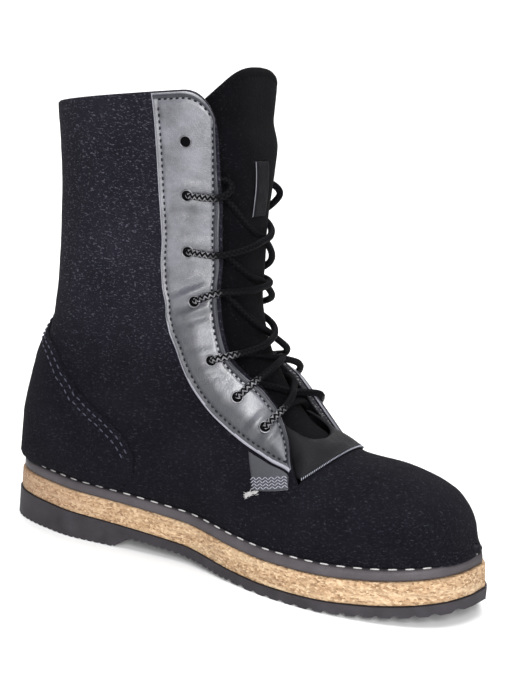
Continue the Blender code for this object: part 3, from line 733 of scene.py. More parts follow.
def cork_material():
    """Pressed cork granules with pale and dark streaks along the sole, browner at the heel."""
    s = Shader("cork", (0.55, 0.40, 0.25), 0.85)
    grains = s.cells(1150.0, s.stretched((0.6, 0.6, 1.0)))
    tone = s.put("ShaderNodeSeparateColor", {"Color": grains["Color"]}).outputs["Red"]
    base = s.ramp(tone, CORK_GRAINS)
    streak = s.noise(210.0, 5.0, 0.65, s.stretched((0.16, 0.16, 1.5)))
    base = s.mix(s.fade(streak, 0.46, 0.70, 0.0, 0.7), base, (0.56, 0.425, 0.275, 1.0))
    dirt = s.noise(260.0, 4.0, 0.65, s.stretched((0.2, 0.2, 1.2), (0.0, 0.0, 1.0)))
    base = s.mix(s.fade(dirt, 0.53, 0.72, 0.0, 0.6), base, (0.17, 0.092, 0.046, 1.0))
    heel = s.range(s.parts()["X"], -0.145, -0.04, 0.55, 0.0)
    s.link(s.mix(heel, base, (0.215, 0.115, 0.068, 1.0)), "Base Color")
    s.bump(grains["Distance"], 0.0006, 0.6)
    s.bump(s.noise(900.0, 3.0, 0.6), 0.0004, 0.5)
    return s.material


def rubber_material(name, dark, light, rough):
    s = Shader(name, dark, rough)
    s.link(s.ramp(s.noise(70.0, 5.0, 0.65), ((0.3, dark), (0.75, light))), "Base Color")
    s.bump(s.noise(800.0, 3.0, 0.6), 0.0002, 0.5)
    s.bump(s.noise(120.0, 3.0, 0.6), 0.0004, 0.3)
    s.set(Specular_IOR_Level=0.25)
    return s.material


def thread_material(name, colour):
    s = Shader(name, colour, 0.8)
    pale = tuple(min(1.0, 1.35 * c) for c in colour)
    s.link(s.ramp(s.noise(1200.0, 2.0, 0.6), ((0.3, colour), (0.7, pale))), "Base Color")
    s.bump(s.noise(2200.0, 2.0, 0.6), 0.0002, 0.6)
    s.set(Specular_IOR_Level=0.15)
    return s.material


# The lace's zigzag: length of one stroke, swing and half width as shares of the girth, middles of its four
# lines, and the lengths in millimetres from the eyelet between which painted shade turns it dark.
ZIGZAG_STROKE = 1.35
ZIGZAG_SWING = 0.17
ZIGZAG_HALF = 0.05
ZIGZAG_MIDDLES = (0.12, 0.37, 0.62, 0.87)
ZIGZAG_SHADE_LENGTHS = (11.0, 17.0)


def lace_material():
    """Black braid with four pale zigzags, which painted shade turns dark past the flap, laid out on length
    and girth.
    """
    s = Shader("lace", (0.012, 0.012, 0.014), 0.75)
    layout = s.layout()
    girth, length = layout["X"], layout["Y"]
    wave = s.math("PINGPONG", s.math("MULTIPLY", length, 1.0 / ZIGZAG_STROKE), 1.0)
    swing = s.math("MULTIPLY", s.math("SUBTRACT", wave, 0.5), ZIGZAG_SWING)
    mask = None
    for middle in ZIGZAG_MIDDLES:
        offset = s.math("ABSOLUTE", s.math("SUBTRACT", s.math("SUBTRACT", girth, middle), swing))
        line = s.math("LESS_THAN", offset, ZIGZAG_HALF)
        mask = line if mask is None else s.math("MAXIMUM", mask, line)
    tint = s.ramp(s.noise(900.0, 2.0, 0.6), ((0.3, (0.03, 0.03, 0.033)), (0.7, (0.22, 0.22, 0.235))))
    # Painted shade: the zigzags turn dark past the flap, where the lace lies in shadow over the tongue.
    shaded = s.range(length, *ZIGZAG_SHADE_LENGTHS, 0.0, 0.98)
    tint = s.mix(shaded, tint, (0.0035, 0.0035, 0.0045, 1.0))
    s.link(s.mix(mask, (0.0016, 0.0016, 0.0022, 1.0), tint), "Base Color")
    s.bump(s.noise(1500.0, 2.0, 0.6), 0.0003, 0.6)
    s.set(Specular_IOR_Level=0.04)
    return s.material


def metal_material(name, colour, rough):
    s = Shader(name, colour, rough, 1.0)
    s.link(s.fade(s.noise(600.0, 3.0, 0.6), 0.3, 0.7, rough - 0.06, rough + 0.12), "Roughness")
    return s.material


# The felt's last colour is the paler tone of its painted light up the shaft.
FELT_LOOK = felt_material("felt", (0.0024, 0.0023, 0.0040), (0.0058, 0.0055, 0.0085),
                          (0.056, 0.055, 0.072), 0.625, (0.0115, 0.0110, 0.0165))
# The tongue's felt is a darker copy of the boot's felt, with fewer flecks: painted shade of the flaps over
# the tongue.
SHADED_TONGUE_FELT = felt_material("tongue_felt", (0.0011, 0.0011, 0.0016), (0.0028, 0.0027, 0.0038),
                            (0.014, 0.014, 0.016), 0.68)
INNER_FELT = felt_material("felt_inside", (0.010, 0.010, 0.013), (0.022, 0.021, 0.026),
                           (0.06, 0.06, 0.07), 0.65)
CUT_FELT = felt_material("felt_cut_edge", (0.016, 0.016, 0.019), (0.045, 0.045, 0.050),
                         (0.22, 0.22, 0.23), 0.60)
INSOLE_FELT = felt_material("insole_felt", (0.30, 0.29, 0.28), (0.42, 0.41, 0.39), (0.55, 0.54, 0.52), 0.64)
FIBRE = felt_material("loose_fibre", (0.009, 0.009, 0.012), (0.024, 0.024, 0.031), (0.07, 0.07, 0.085), 0.64)
# The facing's last colour is the paler tone of its painted highlight.
FACING = leather_material("facing_leather", (0.007, 0.008, 0.012), (0.016, 0.017, 0.025), 0.34, 0.70, 0.75,
                          (0.090, 0.092, 0.112))
BORDER = leather_material("facing_border", (0.007, 0.008, 0.012), (0.020, 0.021, 0.030), 0.5, 0.10, 0.35)
INSERT = leather_material("insert_leather", (0.004, 0.004, 0.005), (0.008, 0.008, 0.010), 0.55, 0.0, 0.08)
# Near-black keeper leather: painted shade for the grazing light on the keeper; its leather is paler under a
# front light.
SHADED_KEEPER = leather_material("keeper_leather", (0.003, 0.003, 0.004), (0.007, 0.007, 0.009), 0.6, 0.0, 0.07)
RAW_EDGE = leather_material("leather_edge", (0.18, 0.18, 0.21), (0.32, 0.32, 0.36), 0.6, 0.0, 0.3)
WELT_LOOK = leather_material("welt_leather", (0.037, 0.032, 0.036), (0.068, 0.060, 0.067), 0.62, 0.05, 0.3)
CORK_LOOK = cork_material()
RUBBER_LOOK = rubber_material("rubber", (0.017, 0.0150, 0.018), (0.036, 0.032, 0.038), 0.7)
DARK_THREAD = thread_material("dark_thread", (0.007, 0.007, 0.010))
BLUE_THREAD = thread_material("blue_grey_thread", (0.038, 0.038, 0.054))
TAB_THREAD = thread_material("pale_blue_thread", (0.20, 0.205, 0.24))
WHITE_THREAD = thread_material("white_thread", (0.36, 0.35, 0.35))
LACE_LOOK = lace_material()
RING_LOOK = metal_material("eyelet_metal", (0.14, 0.14, 0.15), 0.32)
# Near-black felt for the cups of painted shadow inside the eyelets.
EYELET_SHADOW_LOOK = felt_material("eyelet_shadow", (0.0008, 0.0008, 0.0010), (0.0016, 0.0016, 0.0020),
                          (0.004, 0.004, 0.004), 0.7)


# Felt upper

def spread(start, stop, count, ends):
    """Values from start to stop, closer together near both ends when ends is above 1."""
    t = np.linspace(-1.0, 1.0, count)
    bent = np.sin(0.5 * np.pi * t) * (ends - 1.0) + t * (2.0 - ends)
    return start + (stop - start) * (0.5 + 0.5 * bent)


UPPER_SHARES = spread(0.0, 1.0, 54, 1.75)
TOE_ROWS = np.concatenate([np.linspace(0.0, 1.5, 22), np.linspace(1.5, TOE_EDGE_ROW, 58)[1:]])
SIDE_ROWS = np.concatenate([np.linspace(TOE_EDGE_ROW, 11.5, 46), np.linspace(11.5, HEEL_ROW, 22)[1:],
                            spread(HEEL_ROW, COLLAR_ROW, 76, 1.6)[1:]])

# The tip of the toe is drawn back from this share of the length on, over this share, by this much at its end.
TIP_FROM = 0.948
TIP_OVER = 0.040
TIP_BACK = 3.6

# The foot of the felt flares out over the welt between these shares of the length, up to about this height.
FLARE_SHARES = (0.915, 0.960)
FLARE = 3.1
FLARE_HEIGHT = 4.2

# Rounding of the felt's cut edges, outside and inside.
CUT_OUTSIDE = 0.9
CUT_INSIDE = 0.7

FIBRE_WIDTH = 0.06
FIBRE_REACH = 1.5

# Unevenness of the felt: height, size of the lumps, seed.
FELT_LUMPS = ((0.32, 30.0, 1), (0.14, 9.0, 2), (0.07, 3.2, 3))

# Soft troughs of the felt: middle, direction, half length, half width, depth.
CREASES = (
    ((70.0, -40.0, 118.0), (1.0, 0.0, 0.35), 26.0, 6.0, 0.9),
    ((98.0, -42.0, 104.0), (1.0, 0.0, 0.75), 20.0, 5.0, 0.7),
    ((70.0, 41.0, 118.0), (1.0, 0.0, 0.35), 26.0, 6.0, 0.9),
    ((98.0, 43.0, 104.0), (1.0, 0.0, 0.75), 20.0, 5.0, 0.7),
    ((22.0, 0.0, 142.0), (0.0, 1.0, 0.0), 24.0, 7.0, 0.8),
    ((195.0, -46.0, 56.0), (1.0, 0.0, -0.5), 16.0, 5.0, 0.6),
    ((195.0, 50.0, 56.0), (1.0, 0.0, -0.5), 16.0, 5.0, 0.6),
)


def line_distance(points, middle, direction):
    """Length along a line through a place, and distance beside it."""
    away = points - middle
    run = away @ direction
    return run, np.linalg.norm(away - run[:, None] * direction, axis=1)


def crease(points, middle, direction, length, width, depth):
    """Soft trough with low ridges beside it, through a place on the boot."""
    run, beside = line_distance(points, np.asarray(middle), unit(np.asarray(direction, float)))
    profile = np.exp(-(beside / width) ** 2) - 0.45 * np.exp(-((beside - 1.9 * width) / width) ** 2)
    return -depth * profile * np.exp(-(run / length) ** 2)


def felt_swell(points):
    """Uneven thickness of hand-made felt and its creases."""
    swell = sum(height * noise_at(points, size, seed) for height, size, seed in FELT_LUMPS)
    for values in CREASES:
        swell += crease(points, *values)
    return swell


def toe_rounded(points):
    """Draws the tip of the toe back behind the welt's edge, so that the toe is round from above."""
    share = np.clip((points[:, 0] / SOLE_LENGTH - TIP_FROM) / TIP_OVER, 0.0, 1.2)
    points = points.copy()
    points[:, 0] -= TIP_BACK * share * share
    return points


def toe_flare(points):
    """Spread of the felt's foot over the welt at the toe."""
    above = points[:, 2] - welt_top(on_sole(points[:, 0]))
    spread_at = FLARE * eased(points[:, 0] / SOLE_LENGTH, *FLARE_SHARES)
    return spread_at * np.exp(-(np.maximum(0.0, above) / FLARE_HEIGHT) ** 2)


def make_upper():
    corner = float(flap_edge(TOE_EDGE_ROW, -1))
    across = np.concatenate([UPPER_SHARES * corner, np.linspace(corner, 1.0, 30)[1:]])
    row, share = lattice(SIDE_ROWS, UPPER_SHARES)
    place = row - collar_drop(share) * shaft_share(row)
    sheets = []
    for side, _ in SIDES:
        sheets.append((last_point(*lattice(TOE_ROWS, across), side), side > 0))
        sheets.append((last_point(place, share * flap_edge(place, side), side), side > 0))
    points, faces = joined_sheets(sheets)
    tip = list(range(len(across)))
    far_tip = [k + len(points) // 2 for k in reversed(tip)]
    points, faces = weld(points, faces, [tip + far_tip])
    points = toe_rounded(points)
    faces, normals = turned_out(points, faces, points.mean(0))
    edge = rim_marks(faces, len(points))
    on_welt = edge & (points[:, 2] < welt_top(on_sole(points[:, 0])) + 1.0)
    level = normals * np.array((1.0, 1.0, 0.0))
    normals = np.where(on_welt[:, None], unit(level), normals)
    free = edge & ~on_welt
    high = felt_swell(points) - np.where(free, CUT_OUTSIDE, 0.0)
    high = np.where(on_welt, 0.0, high) + toe_flare(points)
    low = -FELT + 0.15 * noise_at(points, 12.0, 5) + np.where(free, CUT_INSIDE, 0.0)
    low = np.where(on_welt, -FELT, low)
    thing = shell("upper_felt", points, normals, faces, low, high, [FELT_LOOK, INNER_FELT, CUT_FELT])
    keep_above_welt(thing)
    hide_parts("upper")
    return points, normals, high


def keep_above_welt(thing):
    """Lifts any point that would dip into the welt's top face."""
    mesh = thing.data
    places = np.zeros(3 * len(mesh.vertices))
    mesh.vertices.foreach_get("co", places)
    places = places.reshape(-1, 3)
    x = on_sole(places[:, 0] / MILLIMETRE + CENTRE[0])
    places[:, 2] = np.maximum(places[:, 2], (welt_top(x) + GAP) * MILLIMETRE)
    mesh.vertices.foreach_set("co", places.ravel())
    mesh.update()


def make_fibres(points, normals, high, count, name, seed):
    """Loose fibres lying on the felt, as thin bent ribbons in one mesh."""
    random = np.random.default_rng(seed)
    picks = random.integers(0, len(points), count)
    up = normals[picks]
    start = points[picks] + up * (high[picks] + 0.05)[:, None]
    side = unit(np.cross(up, random.normal(size=(count, 3))))
    turn = random.uniform(-0.9, 0.9, count)[:, None]
    length = random.uniform(0.5, 1.0, count)[:, None] * FIBRE_REACH
    stand = random.uniform(0.05, 0.35, count)[:, None]
    ribbon = np.cross(up, side)
    rows = []
    for t in (0.0, 0.35, 0.7, 1.0):
        middle = start + side * length * t + ribbon * turn * length * t * t
        middle = middle + up * stand * math.sin(math.pi * t)
        wide = FIBRE_WIDTH * (1.0 - 0.6 * abs(2.0 * t - 1.0))
        rows.append(np.stack([middle - ribbon * wide, middle + ribbon * wide], 1))
    strips = np.stack(rows, 1).reshape(-1, 3)
    base = 2 * len(rows) * np.arange(count)[:, None]
    quads = [base + np.array([[2 * k, 2 * k + 1, 2 * k + 3, 2 * k + 2]]) for k in range(len(rows) - 1)]
    thing = build(name, strips, np.concatenate(quads), [FIBRE])


# Felt counter

# Here and below, a seam is the length and radius of its stitches, and its pitch is the step between them.
COUNTER_ROWS = (9.65, HEEL_ROW - 1.0, HEEL_ROW + 0.09, 15.85)
COUNTER_STITCHES = (2.6, 6.4)
COUNTER_SEAM, COUNTER_PITCH = (2.7, 0.42), 4.6
FEATHER_DROP, FEATHER_REACH, FEATHER_POWER = 1.9, 16.0, 0.6
HEEL_INSIDE = np.array((70.0, 0.0, 80.0))


def feathered(distance):
    """Drop of the counter's face towards its free edge."""
    return FEATHER_DROP * (1.0 - np.clip(distance / FEATHER_REACH, 0.0, 1.0) ** FEATHER_POWER)


def make_counter():
    start, bend, back, stop = COUNTER_ROWS
    rows = np.concatenate([np.linspace(start, bend, 40), np.linspace(bend, back, 24)[1:],
                           np.linspace(back, stop, 46)[1:]])
    row, share = lattice(rows, spread(0.0, 1.0, 34, 1.8))
    low = 0.034 * np.clip((back - row) / 0.4, 0.0, 1.0)
    across = low + (lookup(COUNTER_EDGE, COUNTER_COLUMNS, "edge", row) - low) * share
    grids = [last_point(row, across, side) for side, _ in SIDES]
    points, faces = weld(*joined_sheets([(grid, side > 0) for grid, (side, _) in zip(grids, SIDES)]))
    faces, normals = turned_out(points, faces, HEEL_INSIDE)
    edge = rim_marks(faces, len(points))
    rim = points[edge]
    rim = rim[rim[:, 2] > welt_top(on_sole(rim[:, 0])) + 5.0]
    reach = np.array([np.min(np.linalg.norm(rim - p, axis=1)) for p in points])
    high = 0.7 + COUNTER + felt_swell(points) - feathered(reach) - np.where(edge, 0.5, 0.0)
    thing = shell("counter_felt", points, normals, faces, 0.3, high, [FELT_LOOK, FELT_LOOK, FELT_LOOK])
    keep_above_welt(thing)
    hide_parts("counter")
    lines = []
    for grid, (side, _) in zip(grids, SIDES):
        directions, from_edge = last_normal(row, across, side), border_distance(grid)[1]
        for inset in COUNTER_STITCHES:
            path, normal = inset_path(grid, directions, from_edge, inset)
            path = path + normal * (COUNTER + 0.8 - feathered(inset))
            lines.append(stitch_line(path[5:], normal[5:], COUNTER_PITCH))
    thread = stitches("counter_stitches", *gathered(lines), *COUNTER_SEAM, BLUE_THREAD)
    return points, normals, high


# Leather facings

STAY_EDGE = 0.978
STAY_FOOT_ROW = 7.02
STAY_BELOW_COLLAR = 0.03
STAY_LIFT = 1.9 * GAP
STAY_STITCH = 3.3
STAY_SEAM, STAY_PITCH = (1.75, 0.46), 3.3
LEATHER_BACK = 0.12
PULL = 1.45

# Ridges, above zero, and troughs beside each pulled eyelet: height, distance beside the pull, half width.
WRINKLES = ((-0.46, 0.0, 2.6), (0.46, 5.2, 2.2), (-0.30, 9.0, 2.4), (0.16, 12.5, 2.4))

# The facing's pale cut edge along the back, and its darker strip along the front and top.
PALE_SLOT, DARK_SLOT = 2, 3
PALE_WIDTH = 1.3
DARK_STRIP = (0.9, 2.9)


def edge_profile(distance, thick):
    """Height of a sewn leather edge: rounded edge, low welted roll, then the stitch trough."""
    roll = 0.30 * np.exp(-((distance - 1.5) / 0.9) ** 2)
    trough = -0.55 * np.exp(-((distance - STAY_STITCH) / 0.8) ** 2)
    return thick * (0.35 + 0.65 * rounded(distance, 0.9)) + roll + trough


def eyestay_places(rows, columns, side):
    """Places and outward directions of a grid over the eyestay."""
    rows = STAY_FOOT_ROW + (COLLAR_ROW - STAY_FOOT_ROW) * spread(0.0, 1.0, rows, 1.5)
    row, k = lattice(rows, spread(0.0, 1.0, columns, 1.8))
    share = stay_back(row, side) / flap_edge(row, side)
    share = share + (np.maximum(STAY_EDGE, share + 0.004) - share) * k
    place = row - (collar_drop(share) + STAY_BELOW_COLLAR) * shaft_share(row)
    across = share * flap_edge(place, side)
    return last_point(place, across, side), last_normal(place, across, side)


def eyelet_centres(side):
    rows, across = np.array([eyelet_place(number, side) for number in EYELET_NUMBERS]).T
    return last_point(rows, across, side), last_normal(rows, across, side)


def pull_wrinkles(points, side):
    """Troughs and ridges that the lace pulls into the leather beside each eyelet but the top one."""
    centres, _ = eyelet_centres(side)
    height = np.zeros(len(points))
    for number in EYELET_NUMBERS[1:]:
        centre = centres[number - 1]
        row = edge_row(number, side)
        pull = unit(last_point(row, flap_edge(row, side), side) - centre)
        run, beside = line_distance(points, centre, pull)
        reach = np.exp(-((run + 1.0) / 9.0) ** 2)
        strength = 0.75 + 0.5 * math.sin(2.1 * number + side)
        waves = sum(high * np.exp(-((beside - away) / width) ** 2) for high, away, width in WRINKLES)
        height += PULL * strength * reach * waves
    return height


def make_eyestay(side, label):
    grid, normals = eyestay_places(150, 44, side)
    left, right, low, high = border_distance(grid)
    distance = nearest(left, right, high, low + 1.0)
    points = grid.reshape(-1, 3)
    uneven = pull_wrinkles(points, side)
    uneven = uneven + 0.30 * noise_at(points, 15.0, 11) + 0.08 * noise_at(points, 5.0, 12)
    lift = STAY_LIFT + edge_profile(distance, LEATHER) + np.clip((distance - 3.0) / 3.0, 0.0, 1.0) * uneven
    layout = np.stack([left / (left + right), low / (low + high)], -1).reshape(-1, 2)
    thing = sheet("eyestay_leather_" + label, grid, normals, LEATHER_BACK, lift, [FACING, FACING, RAW_EDGE],
                  side > 0, layout)
    mark_border(thing, np.minimum(right, high), left)
    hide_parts("eyestay_" + label)
    long, top = np.s_[4:-7], np.s_[-40:, 6:-6]
    rows = [inset_path(grid[long], normals[long], far[long], STAY_STITCH) for far in (left, right)]
    rows.append(inset_along(grid[top], normals[top], high[top], STAY_STITCH))
    trough = STAY_LIFT + LEATHER - 0.2
    lines = [stitch_line(path + normal * trough, normal, STAY_PITCH) for path, normal in rows]
    thread = stitches("eyestay_stitches_" + label, *gathered(lines), *STAY_SEAM, DARK_THREAD)


def mark_border(thing, from_front, from_back):
    """Darker strip outside the front and top stitches, and a pale cut edge along the back."""
    thing.data.materials.append(BORDER)
    for number, face in enumerate(grid_faces(*from_back.shape)):
        if np.mean(from_back.ravel()[face]) < PALE_WIDTH:
            thing.data.polygons[number].material_index = PALE_SLOT
        elif DARK_STRIP[0] < np.mean(from_front.ravel()[face]) < DARK_STRIP[1]:
            thing.data.polygons[number].material_index = DARK_SLOT


def make_fray(corner, normal, down, back):
    """Loose thread ends at the lower back corner of the medial tab."""
    rng = np.random.default_rng(61)
    count = 70
    reach = rng.uniform(0.0, 1.0, count)[:, None]
    places = corner + back * (7.5 * reach - 2.0) + down * (0.6 + 2.6 * reach * reach)
    places = places + down * rng.normal(0.0, 0.7, (count, 1)) + normal * rng.uniform(0.3, 0.9, (count, 1))
    along = back + down * (0.35 + rng.normal(0.0, 0.4, (count, 1)))
    along = along + normal * rng.normal(0.0, 0.15, (count, 1))
    thread = stitches("tab_fray", places, along, np.tile(normal, (count, 1)), 2.4, 0.12, WHITE_THREAD)


# Lower corners of the tab, as row and share of the section, rows of its upper corners, and its zigzag rows.
TAB_LOW = ((7.60, 0.475), (6.79, 0.582))
TAB_HIGH_ROWS = (8.20, 6.97)
TAB_ZIGZAGS = (1.4, 3.1, 4.8, 6.5)
TAB_SEAM, TAB_PITCH = (2.2, 0.26), 1.7


def between(first, last, share):
    return first + (last - first) * share


def make_tab(side, label):
    """Small reinforcement at the foot of the facing, sewn down with dense zigzag."""
    along, up = lattice(np.linspace(0.0, 1.0, 40), spread(0.0, 1.0, 22, 1.6))
    row_low, across_low = (between(first, last, along) for first, last in zip(*TAB_LOW))
    row_high = between(*TAB_HIGH_ROWS, along)
    across_high = np.minimum(stay_back(row_high, side), flap_edge(row_high, side) - 0.018) - 0.014
    row, across = between(row_low, row_high, up), between(across_low, across_high, up)
    grid, normals = last_point(row, across, side), last_normal(row, across, side)
    left, right, low, high = border_distance(grid)
    distance = nearest(left, right + 1.0, low, high)
    uneven = 0.12 * noise_at(grid.reshape(-1, 3), 6.0, 21)
    lift = GAP + LEATHER * (0.3 + 0.7 * rounded(distance, 1.1)) + uneven
    thing = sheet("facing_tab_leather_" + label, grid, normals, LEATHER_BACK, lift,
                  [FACING, FACING, RAW_EDGE], side > 0)
    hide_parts("facing_tab_" + label)
    lines = []
    for inset in TAB_ZIGZAGS:
        path, normal = inset_path(grid, normals, left, inset)
        at, ahead, out = stitch_line(path + normal * (GAP + LEATHER + 0.1), normal, TAB_PITCH)
        swing = np.where(np.arange(len(at)) % 2 == 0, 0.9, -0.9)[:, None]
        lines.append((at, ahead + swing * np.cross(out, ahead), out))
    if side < 0:
        make_fray(grid[0, 0], normals[0, 0], unit(grid[0, 0] - grid[0, -1]), unit(grid[0, 0] - grid[8, 0]))
    thread = stitches("tab_zigzag_" + label, *gathered(lines), *TAB_SEAM, TAB_THREAD)


def joined(halves):
    """One grid from a medial half, turned round, and a lateral half that share their middle line."""
    return np.concatenate([halves[0][:, ::-1], halves[1][:, 1:]], 1)


# The insert: row of its foot and its height in rows at the centre, with what each gains towards the sides,
# and how far its top is drawn in, along its whole width and more at the sides.
INSERT_FOOT, INSERT_FOOT_BEND = 6.12, 0.45
INSERT_RISE, INSERT_RISE_BEND = 0.83, 0.75
INSERT_LEAST_EDGE = 0.660
INSERT_TUCK, INSERT_SIDE_TUCK = 3.0, 5.6
INSERT_SEAM, INSERT_PITCH = (2.2, 0.27), 1.25


def make_insert():
    """Leather piece between the toe and the tongue, with an overcast lower edge."""
    up, share = lattice(spread(0.0, 1.0, 36, 1.5), spread(0.0, 1.0, 40, 1.4))
    row = INSERT_FOOT + INSERT_FOOT_BEND * share ** 2 + up * (INSERT_RISE + INSERT_RISE_BEND * share ** 1.6)
    edge = np.maximum(INSERT_LEAST_EDGE, flap_edge(np.maximum(row, TOE_EDGE_ROW), -1) + 0.004)
    across = 1.0 - (1.0 - edge) * share
    grid, normals = (joined([find(row, across, side) for side, _ in SIDES])
                     for find in (last_point, last_normal))
    left, right, low, high = border_distance(grid)
    distance = nearest(left, right, low, high)
    inward = np.clip((row - TOE_EDGE_ROW - 0.05) / 0.5, 0.0, 1.0)
    inward = inward * np.clip((share - 0.40) / 0.60, 0.0, 1.0) ** 2
    drawn = INSERT_TUCK * np.clip((up - 0.35) / 0.65, 0.0, 1.0) ** 2 + INSERT_SIDE_TUCK * inward
    drawn = joined([drawn, drawn]).reshape(-1)
    lift = 0.6 + 1.3 * (0.3 + 0.7 * rounded(distance, 1.0)) + 0.12 * noise_at(grid.reshape(-1, 3), 16.0, 31)
    thing = sheet("insert_leather", grid, normals, 0.35 - drawn, lift - drawn, [INSERT, INSERT, INSERT])
    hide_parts("vamp_insert")
    path, normal = inset_along(grid, normals, low, 0.5)
    at, ahead, out = stitch_line(path + normal * 1.5, normal, INSERT_PITCH)
    slanted = ahead + 1.1 * np.cross(out, ahead)
    thread = stitches("insert_overcast", at, slanted, out, *INSERT_SEAM, TAB_THREAD)


# Tongue

TONGUE_FACE = -FELT - TONGUE_CLEAR
TONGUE_WIDE_ROW = 18.0
TONGUE_STITCH = 4.2
TONGUE_SEAM, TONGUE_PITCH = (2.3, 0.3), 3.6

# Heights between which the tongue's middle swells out and goes back in, and between which its top leans back.
SWELL, SWELL_RISE, SWELL_FALL = 2.3, (140.0, 175.0), (226.0, 244.0)
LEAN, LEAN_RISE = -2.0, (230.0, 244.0)

# Rows over which the tongue's foot comes up under the insert, and by how much.
FOOT_LIFT, FOOT_ROWS = 4.6, (7.0, 7.9)


def tongue_places(up, share, side):
    """Rows and shares of the section over the tongue, whose top edge is rounded."""
    widest = lookup(TONGUE_EDGE, TONGUE_COLUMNS, "edge", TONGUE_WIDE_ROW)
    out = last_point(TONGUE_WIDE_ROW, 1.0 - (1.0 - widest) * share, side)[..., 1]
    out = out / last_point(TONGUE_WIDE_ROW, widest, side)[1]
    round_top = np.sqrt(np.maximum(0.0, 1.0 - np.minimum(1.0, out) ** 2))
    top = TONGUE_SIDE_ROW + (TONGUE_TOP_ROW - TONGUE_SIDE_ROW) * round_top
    row = TONGUE_FOOT_ROW + (top - TONGUE_FOOT_ROW) * up
    edge = lookup(TONGUE_EDGE, TONGUE_COLUMNS, "edge", row)
    return row, 1.0 - (1.0 - edge) * share


def tongue_swell(height):
    """Forward swell of the tongue's middle behind the laces."""
    return SWELL * eased(height, *SWELL_RISE) * (1.0 - eased(height, *SWELL_FALL))


def tongue_lean(height):
    """Lean of the tongue's top back over the collar."""
    return LEAN * eased(height, *LEAN_RISE)


def make_tongue():
    up, share = lattice(spread(0.0, 1.0, 150, 1.5), np.sin(0.5 * np.pi * spread(0.0, 1.0, 34, 1.2)))
    places = [(*tongue_places(up, share, side), side) for side, _ in SIDES]
    grid, normals = (joined([find(*place) for place in places]) for find in (last_point, last_normal))
    left, right, _, high = border_distance(grid)
    distance = nearest(left, right, high)
    points, directions = grid.reshape(-1, 3), normals.reshape(-1, 3)
    rows = joined([row for row, _, _ in places]).reshape(-1)
    edge = 1.0 - rounded(distance, 1.6)
    middle = 1.0 - joined([share, share]).reshape(-1) ** 2
    wave = tongue_lean(points[:, 2]) + tongue_swell(points[:, 2]) * middle
    face = TONGUE_FACE + 0.30 * noise_at(points, 26.0, 41) + 0.12 * noise_at(points, 7.0, 42)
    face += FOOT_LIFT * (1.0 - eased(rows, *FOOT_ROWS))
    face += wave - 0.45 * np.exp(-((distance - TONGUE_STITCH) / 0.9) ** 2) - 1.1 * edge
    back = TONGUE_FACE - FELT + 0.9 * edge + wave
    thing = sheet("tongue_felt", grid, normals, back, face, [SHADED_TONGUE_FELT, INNER_FELT, SHADED_TONGUE_FELT])
    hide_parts("tongue")
    top = np.s_[-60:, 4:-4]
    path, normal = inset_along(grid[top], normals[top], high[top], TONGUE_STITCH)
    path = path + normal * (TONGUE_FACE - 0.2 + tongue_lean(path[:, 2:]))
    thread = stitches("tongue_stitches", *stitch_line(path, normal, TONGUE_PITCH), *TONGUE_SEAM, SHADED_TONGUE_FELT)
    return points, directions, face


# The keeper: its lowest row and its height in rows, its place beside the centre line, slant and width as
# shares of the section, and its arch and thickness.
KEEPER_ROW, KEEPER_ROWS = 14.70, 2.18
KEEPER_BESIDE, KEEPER_SLANT, KEEPER_WIDTH = -0.016, 0.006, 0.054
KEEPER_ARCH, KEEPER_THICK = 0.7, 1.2
KEEPER_SEAM, KEEPER_PITCH = (1.6, 0.4), 2.2


def make_keeper():
    """Leather loop for the lace, sewn on the tongue at its ends."""
    up, k = lattice(np.linspace(0.0, 1.0, 40), np.linspace(-0.5, 0.5, 20))
    row = KEEPER_ROW + KEEPER_ROWS * up
    offset = KEEPER_BESIDE - KEEPER_SLANT * up + KEEPER_WIDTH * k
    across, medial = 1.0 - np.abs(offset), (offset < 0.0)[..., None]
    grid, normals = (np.where(medial, find(row, across, -1), find(row, across, 1))
                     for find in (last_point, last_normal))
    distance = nearest(*border_distance(grid))
    height = grid.reshape(-1, 3)[:, 2]
    arch = KEEPER_ARCH * np.sin(np.pi * up.reshape(-1)) ** 0.5
    arch = arch + tongue_swell(height) + tongue_lean(height)
    lift = TONGUE_FACE + GAP + KEEPER_THICK * (0.3 + 0.7 * rounded(distance, 0.8)) + arch
    thing = sheet("tongue_keeper_leather", grid, normals, TONGUE_FACE + 0.15 + arch, lift,
                  [SHADED_KEEPER, SHADED_KEEPER, RAW_EDGE])
    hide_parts("tongue_keeper")
    lines = []
    for end in (2, -3):
        path, normal = grid[end, 2:-2], normals[end, 2:-2]
        path = path + normal * (TONGUE_FACE + GAP + 1.5 + tongue_swell(path[:, 2:]))
        lines.append(stitch_line(path, normal, KEEPER_PITCH))
    thread = stitches("keeper_stitches", *gathered(lines), *KEEPER_SEAM, DARK_THREAD)


# Eyelets and lace

OVER_FLAP = 2.4 * GAP + LEATHER + LACE_RADIUS
ON_TONGUE = TONGUE_FACE + 2 * GAP + LACE_RADIUS
UNDER_EYELET = -FELT - 3.2
CORD_STEP = 0.6
CORD_SIDES = 18

# Steps of a lace out of its eyelet: share of the way to the flap's edge, and lift.
EYELET_STEPS = ((0.0, 0.7), (0.12, 1.8), (0.27, 3.1), (0.47, OVER_FLAP), (0.66, OVER_FLAP), (0.84, OVER_FLAP))

# Of two strands that cross, the medial one passes over the lateral one by this lift.
CROSS_LIFTS = ((-1, 2.6), (1, 0.0))


def row_where(height_at, height, low, high):
    """Row between two others at which a rising height reaches the one asked for."""
    for _ in range(24):
        middle = 0.5 * (low + high)
        if height_at(middle) < height:
            low = middle
        else:
            high = middle
    return 0.5 * (low + high)


